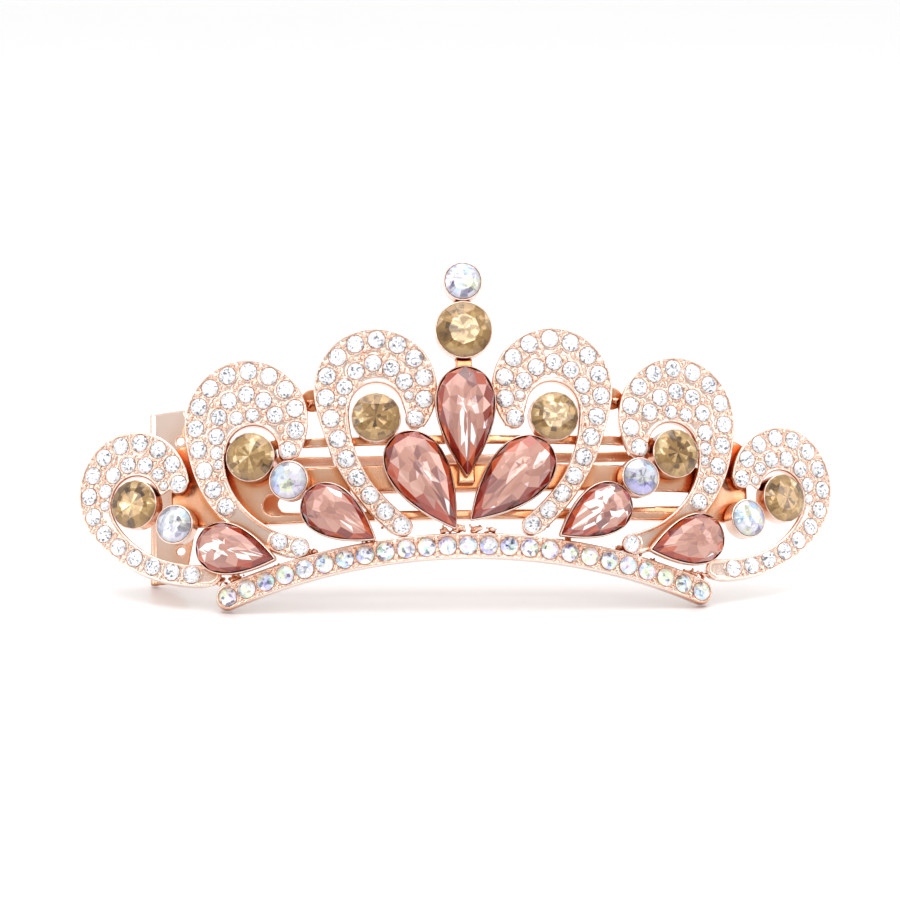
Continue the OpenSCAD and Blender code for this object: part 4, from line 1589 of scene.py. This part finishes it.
@dataclass
class Finial:
    """The post behind the top cups and the plates that join the scrolls.

    Attributes:
        voxel: size of the skin's cells, mm.
    """

    voxel: float = 0.14

    def build(self) -> None:
        """Melts the post and the small plates a little, as soldered pieces are."""
        for name, node in (("post", "finial_post"), ("links", "scroll_links")):
            piece = cast(name, [node_surface(node)], self.voxel, Finish.SHEET)
            finished(piece, "crown", Slot.ROSE, node)


# ---------------------------------------------------------------- the clip


@dataclass
class Clip:
    """The sprung clip behind the crown.

    Attributes:
        pin: the hinge pin's middle in the upright frame, mm.
        coil_r: mean radius of the spring's coil, mm.
        wire: the wire's diameter, mm.
        turns: whole turns of the coil.
        pitch: rise of a turn, mm.
        leg_a: angle where the fixed leg leaves the coil, degrees.
        leg_b: angle where the moving leg leaves it, degrees.
        leg_a_l: length of the fixed leg, mm.
        leg_b_l: length of the moving leg, mm.
        cast_nodes: each metal node with its piece's name, body, cell size (mm) and softening.
        coil_points: points along the coil.
    """

    pin: tuple[float, float, float] = (-32.2631, 10.2789, 16.1)
    coil_r: float = 1.5
    wire: float = 0.6
    turns: int = 8
    pitch: float = 0.708
    leg_a: float = -102.0
    leg_b: float = 50.0
    leg_a_l: float = 4.6
    leg_b_l: float = 6.5
    cast_nodes: tuple[tuple[str, str, str, float, int], ...] = (
        ("upper_jaw", "sheet_upper_jaw", "crown", 0.2, 3),
        ("lower_jaw", "sheet_lower_jaw", "lower_jaw", 0.19, 3),
        ("hinge_pin", "pin", "crown", 0.09, 2),
    )
    coil_points: int = 700

    def coil(self, a: Array) -> Array:
        """Points of the coil: a circle round the pin that climbs with the angle."""
        low = self.pin[2] - self.turns * self.pitch / 2
        sweep = 360 * self.turns + self.leg_b - self.leg_a
        rise = low + (a - self.leg_a) / sweep * self.turns * self.pitch
        t = np.radians(a)
        return np.stack([self.pin[0] + self.coil_r * np.cos(t), self.pin[1] + self.coil_r * np.sin(t), rise], 1)

    def wire_piece(self, path: Array, name: str, body: str, *nodes: str) -> None:
        """A wire along a path in the upright frame."""
        smooth = CROWN.stand(evened(path, 0.2, False))
        up = np.broadcast_to(CROWN.turn(np.array([[0.0, 0.0, 1.0]])), smooth.shape)
        shape = tube(smooth, self.wire / 2, 12, up, False)
        finished(mesh_piece(name, shape, Finish.SPRING), body, Slot.SPRING, *nodes)

    def build(self) -> None:
        """Makes the jaws, the pin and the spring."""
        for node, name, body, voxel, soften in self.cast_nodes:
            piece = cast(name, [node_surface(node)], voxel, Finish.SHEET, soften)
            finished(piece, body, Slot.CLIP, node)
        end = 360 * self.turns + self.leg_b
        a, b = math.radians(self.leg_a), math.radians(self.leg_b)
        turns = self.coil(np.linspace(self.leg_a, end, self.coil_points))
        foot = turns[:1] - self.leg_a_l * np.array([[-math.sin(a), math.cos(a), 0.0]])
        self.wire_piece(np.concatenate([foot, turns]), "spring_coil", "crown", "torsion_spring")
        leg = turns[-1:] + np.linspace(0.0, self.leg_b_l, 12)[:, None] * np.array([[-math.sin(b), math.cos(b), 0.0]])
        self.wire_piece(leg, "spring_leg", "lower_jaw")


# ---------------------------------------------------------------- the studio


@dataclass
class Studio:
    """Floor, light and camera.

    Attributes:
        azimuth: of the camera from the crown's front, degrees.
        elevation: of the camera from the crown's own level, degrees.
        roll: of the camera, degrees.
        distance: to the target, mm.
        target: across, out and up of the point looked at, upright frame, mm.
        lens: focal length for a 36 mm sensor, mm.
    """

    azimuth: float = -4.5
    elevation: float = -9.0
    roll: float = 1.2
    distance: float = 400.0
    target: tuple[float, float, float] = (-2.07, 0.0, 19.35)
    lens: float = 124.0

    def camera(self) -> None:
        """Sets the camera: its axes are worked out upright, then leaned back."""
        a, e, r = (math.radians(v) for v in (self.azimuth, self.elevation, self.roll))
        back = np.array([math.sin(a) * math.cos(e), -math.cos(a) * math.cos(e), math.sin(e)])
        right = np.array([math.cos(a), math.sin(a), 0.0])
        up = np.cross(back, right)
        right, up = right * math.cos(r) - up * math.sin(r), right * math.sin(r) + up * math.cos(r)
        place = CROWN.stand(np.array([self.target]) + back * self.distance)[0] * MM
        axes = CROWN.turn(np.stack([right, up, back]))
        data = bpy.data.cameras.new("camera")
        data.lens, data.sensor_width = self.lens, 36.0
        data.clip_start, data.clip_end = 0.01, 20.0
        seen = bpy.data.objects.new("camera", data)
        matrix = np.eye(4)
        matrix[:3, :3], matrix[:3, 3] = axes.T, place
        seen.matrix_world = Matrix(matrix.tolist())
        bpy.context.scene.collection.objects.link(seen)
        bpy.context.scene.camera = seen

    def floor(self) -> None:
        """A wide pale floor that ends beyond the picture's white distance."""
        y = np.linspace(-900.0, 9000.0, 12)
        x = np.linspace(-5000.0, 5000.0, 9)
        points = np.stack([*np.meshgrid(x, y), np.zeros((len(y), len(x)))], -1)
        shape = Surface(points.reshape(-1, 3), grid_faces(len(y), len(x), False, False))
        mesh_piece("floor", shape, Finish.FLOOR)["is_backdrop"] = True

    def light(self, name: str, place: Colour, size: tuple[float, float], power: float) -> None:
        """A soft box aimed at the clip.

        Args:
            name: its name.
            place: where it stands, m.
            size: its width and height, m.
            power: W.
        """
        data = bpy.data.lights.new(name, "AREA")
        data.shape, data.size, data.size_y = "RECTANGLE", *size
        data.energy = power
        lamp = bpy.data.objects.new(name, data)
        z = np.array(place) / np.linalg.norm(place)
        x = np.cross([0, 0, 1], z)
        x = x / np.linalg.norm(x) if np.linalg.norm(x) > 1e-6 else np.array([1.0, 0, 0])
        matrix = np.eye(4)
        matrix[:3, :3], matrix[:3, 3] = np.stack([x, np.cross(z, x), z], 1), place
        lamp.matrix_world = Matrix(matrix.tolist())
        bpy.context.scene.collection.objects.link(lamp)

    def build(self) -> None:
        """Sets up the whole studio."""
        self.camera()
        self.floor()
        self.sky()
        bpy.context.scene.view_settings.view_transform = "Standard"
        self.light("top", (0.05, -0.05, 0.75), (0.9, 0.6), 3.2)
        self.light("left", (-0.75, -0.45, 0.42), (0.3, 0.7), 1.5)
        self.light("right", (0.8, -0.4, 0.45), (0.25, 0.7), 1.3)
        self.light("front", (0.15, -0.9, 0.55), (0.5, 0.12), 0.8)

    def sky(self) -> None:
        """A white room that is darker on the camera's side: it goes by the way's Y and Z."""
        world = bpy.data.worlds.new("studio")
        world.use_nodes = True
        tree = world.node_tree
        way = tree.nodes.new("ShaderNodeTexCoord")
        split = tree.nodes.new("ShaderNodeSeparateXYZ")
        tree.links.new(way.outputs["Generated"], split.inputs[0])
        ramps = []
        for output, dark, white in ((1, -0.5, 0.15), (2, -0.1, 0.9)):
            ramp = tree.nodes.new("ShaderNodeMapRange")
            ramp.inputs["From Min"].default_value = dark
            ramp.inputs["From Max"].default_value = white
            tree.links.new(split.outputs[output], ramp.inputs["Value"])
            ramps.append(ramp)
        most = tree.nodes.new("ShaderNodeMath")
        most.operation = "MAXIMUM"
        for k, ramp in enumerate(ramps):
            tree.links.new(ramp.outputs[0], most.inputs[k])
        share = tree.nodes.new("ShaderNodeMapRange")
        share.inputs["To Min"].default_value = 0.42
        share.inputs["To Max"].default_value = 1.05
        tree.links.new(most.outputs[0], share.inputs["Value"])
        ground = tree.nodes["Background"]
        ground.inputs[0].default_value = (1.0, 1.0, 1.0, 1.0)
        tree.links.new(share.outputs[0], ground.inputs[1])
        bpy.context.scene.world = world


# ---------------------------------------------------------------- all of it

FRAME: dict[str, Any] = {}

SCROLLS = (
    ScrollPath("outer", (44.4, 15.6), 6.5, 6, 134, 1.45, 3.8, (0.4, -1.35), 195, 95),
    ScrollPath("middle", (28.7, 23.75), 6.8, -35, 113, 1.645, 2.33, (0.9, -3.85), 205, 75),
    ScrollPath("inner", (11.6, 27.5), 6.5, -38, 100.4, 1.815, 3.1, (0.1, -2.6), 200, 60),
)
ROUNDS = (("outer", (43.9, 13.85)), ("middle", (27.9, 19.15)), ("inner", (11.5, 23.7)))
AURORAS = (("outer", (38.25, 10.9)), ("middle", (22.9, 15.85)))
ROUND_D, AURORA_D, TOP_D = 6.0, 4.7, 7.1
TOP_UP, TOP_GAP = 35.0, 0.52
FRONT = PearOutline(7.5, 14.1)
SMALL = PearOutline(6.4, 10.6)
PEARS = (
    Pear("left_outer", (-31.9, 7.5), 76, SMALL),
    Pear("left_middle", (-18.05, 12.05), 56, SMALL),
    Pear("left_front", (-6.95, 18.0), 31, FRONT),
    Pear("top", (0, 26.3), 0, FRONT),
    Pear("right_front", (7.8, 17.35), -46, FRONT),
    Pear("right_middle", (18.25, 11.85), -60, SMALL),
    Pear("right_outer", (31.0, 8.0), -77, SMALL),
)


def cups() -> list[RoundCup]:
    """Every cup with its stone, both sides and the two on top."""
    gold, pale = (Finish.CHAMPAGNE, Slot.CHAMPAGNE), (Finish.AURORA, Slot.AURORA)
    made = []
    for side in Side:
        for rank, (across, up) in ROUNDS:
            key, at = f"{side.label}_{rank}", (side.sign * across, up)
            made.append(RoundCup(key, "round", at, ROUND_D, *gold))
        for rank, (across, up) in AURORAS:
            key, at = f"{side.label}_{rank}", (side.sign * across, up)
            made.append(RoundCup(key, "aurora", at, AURORA_D, *pale, cover=0.1))
    above = TOP_UP + TOP_D / 2 + AURORA_D / 2 + TOP_GAP
    made.append(RoundCup("top", "round", (0, TOP_UP), TOP_D, *gold, cover=0.3))
    made.append(RoundCup("top", "aurora", (0, above), AURORA_D, *pale, cover=0.0))
    return made


def main() -> None:
    """Builds the clip's looks in order."""
    logging.basicConfig(level=logging.INFO, format="%(message)s")
    for left_over in list(bpy.data.objects):
        bpy.data.objects.remove(left_over)
    FRAME.update(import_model())
    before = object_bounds()
    rng = np.random.default_rng(7)
    Studio().build()
    for side in Side:
        for path in SCROLLS:
            Scroll(path, side).build(rng)
    Band().build(rng)
    for cup in cups():
        cup.build(rng)
    for pear in PEARS:
        pear.build(rng)
    Solder().build(rng)
    Finial().build()
    Clip().build()
    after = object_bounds()
    {"cad": [list(v) for v in before], "visual": [list(v) for v in after]}


if __name__ == "__main__":
    main()
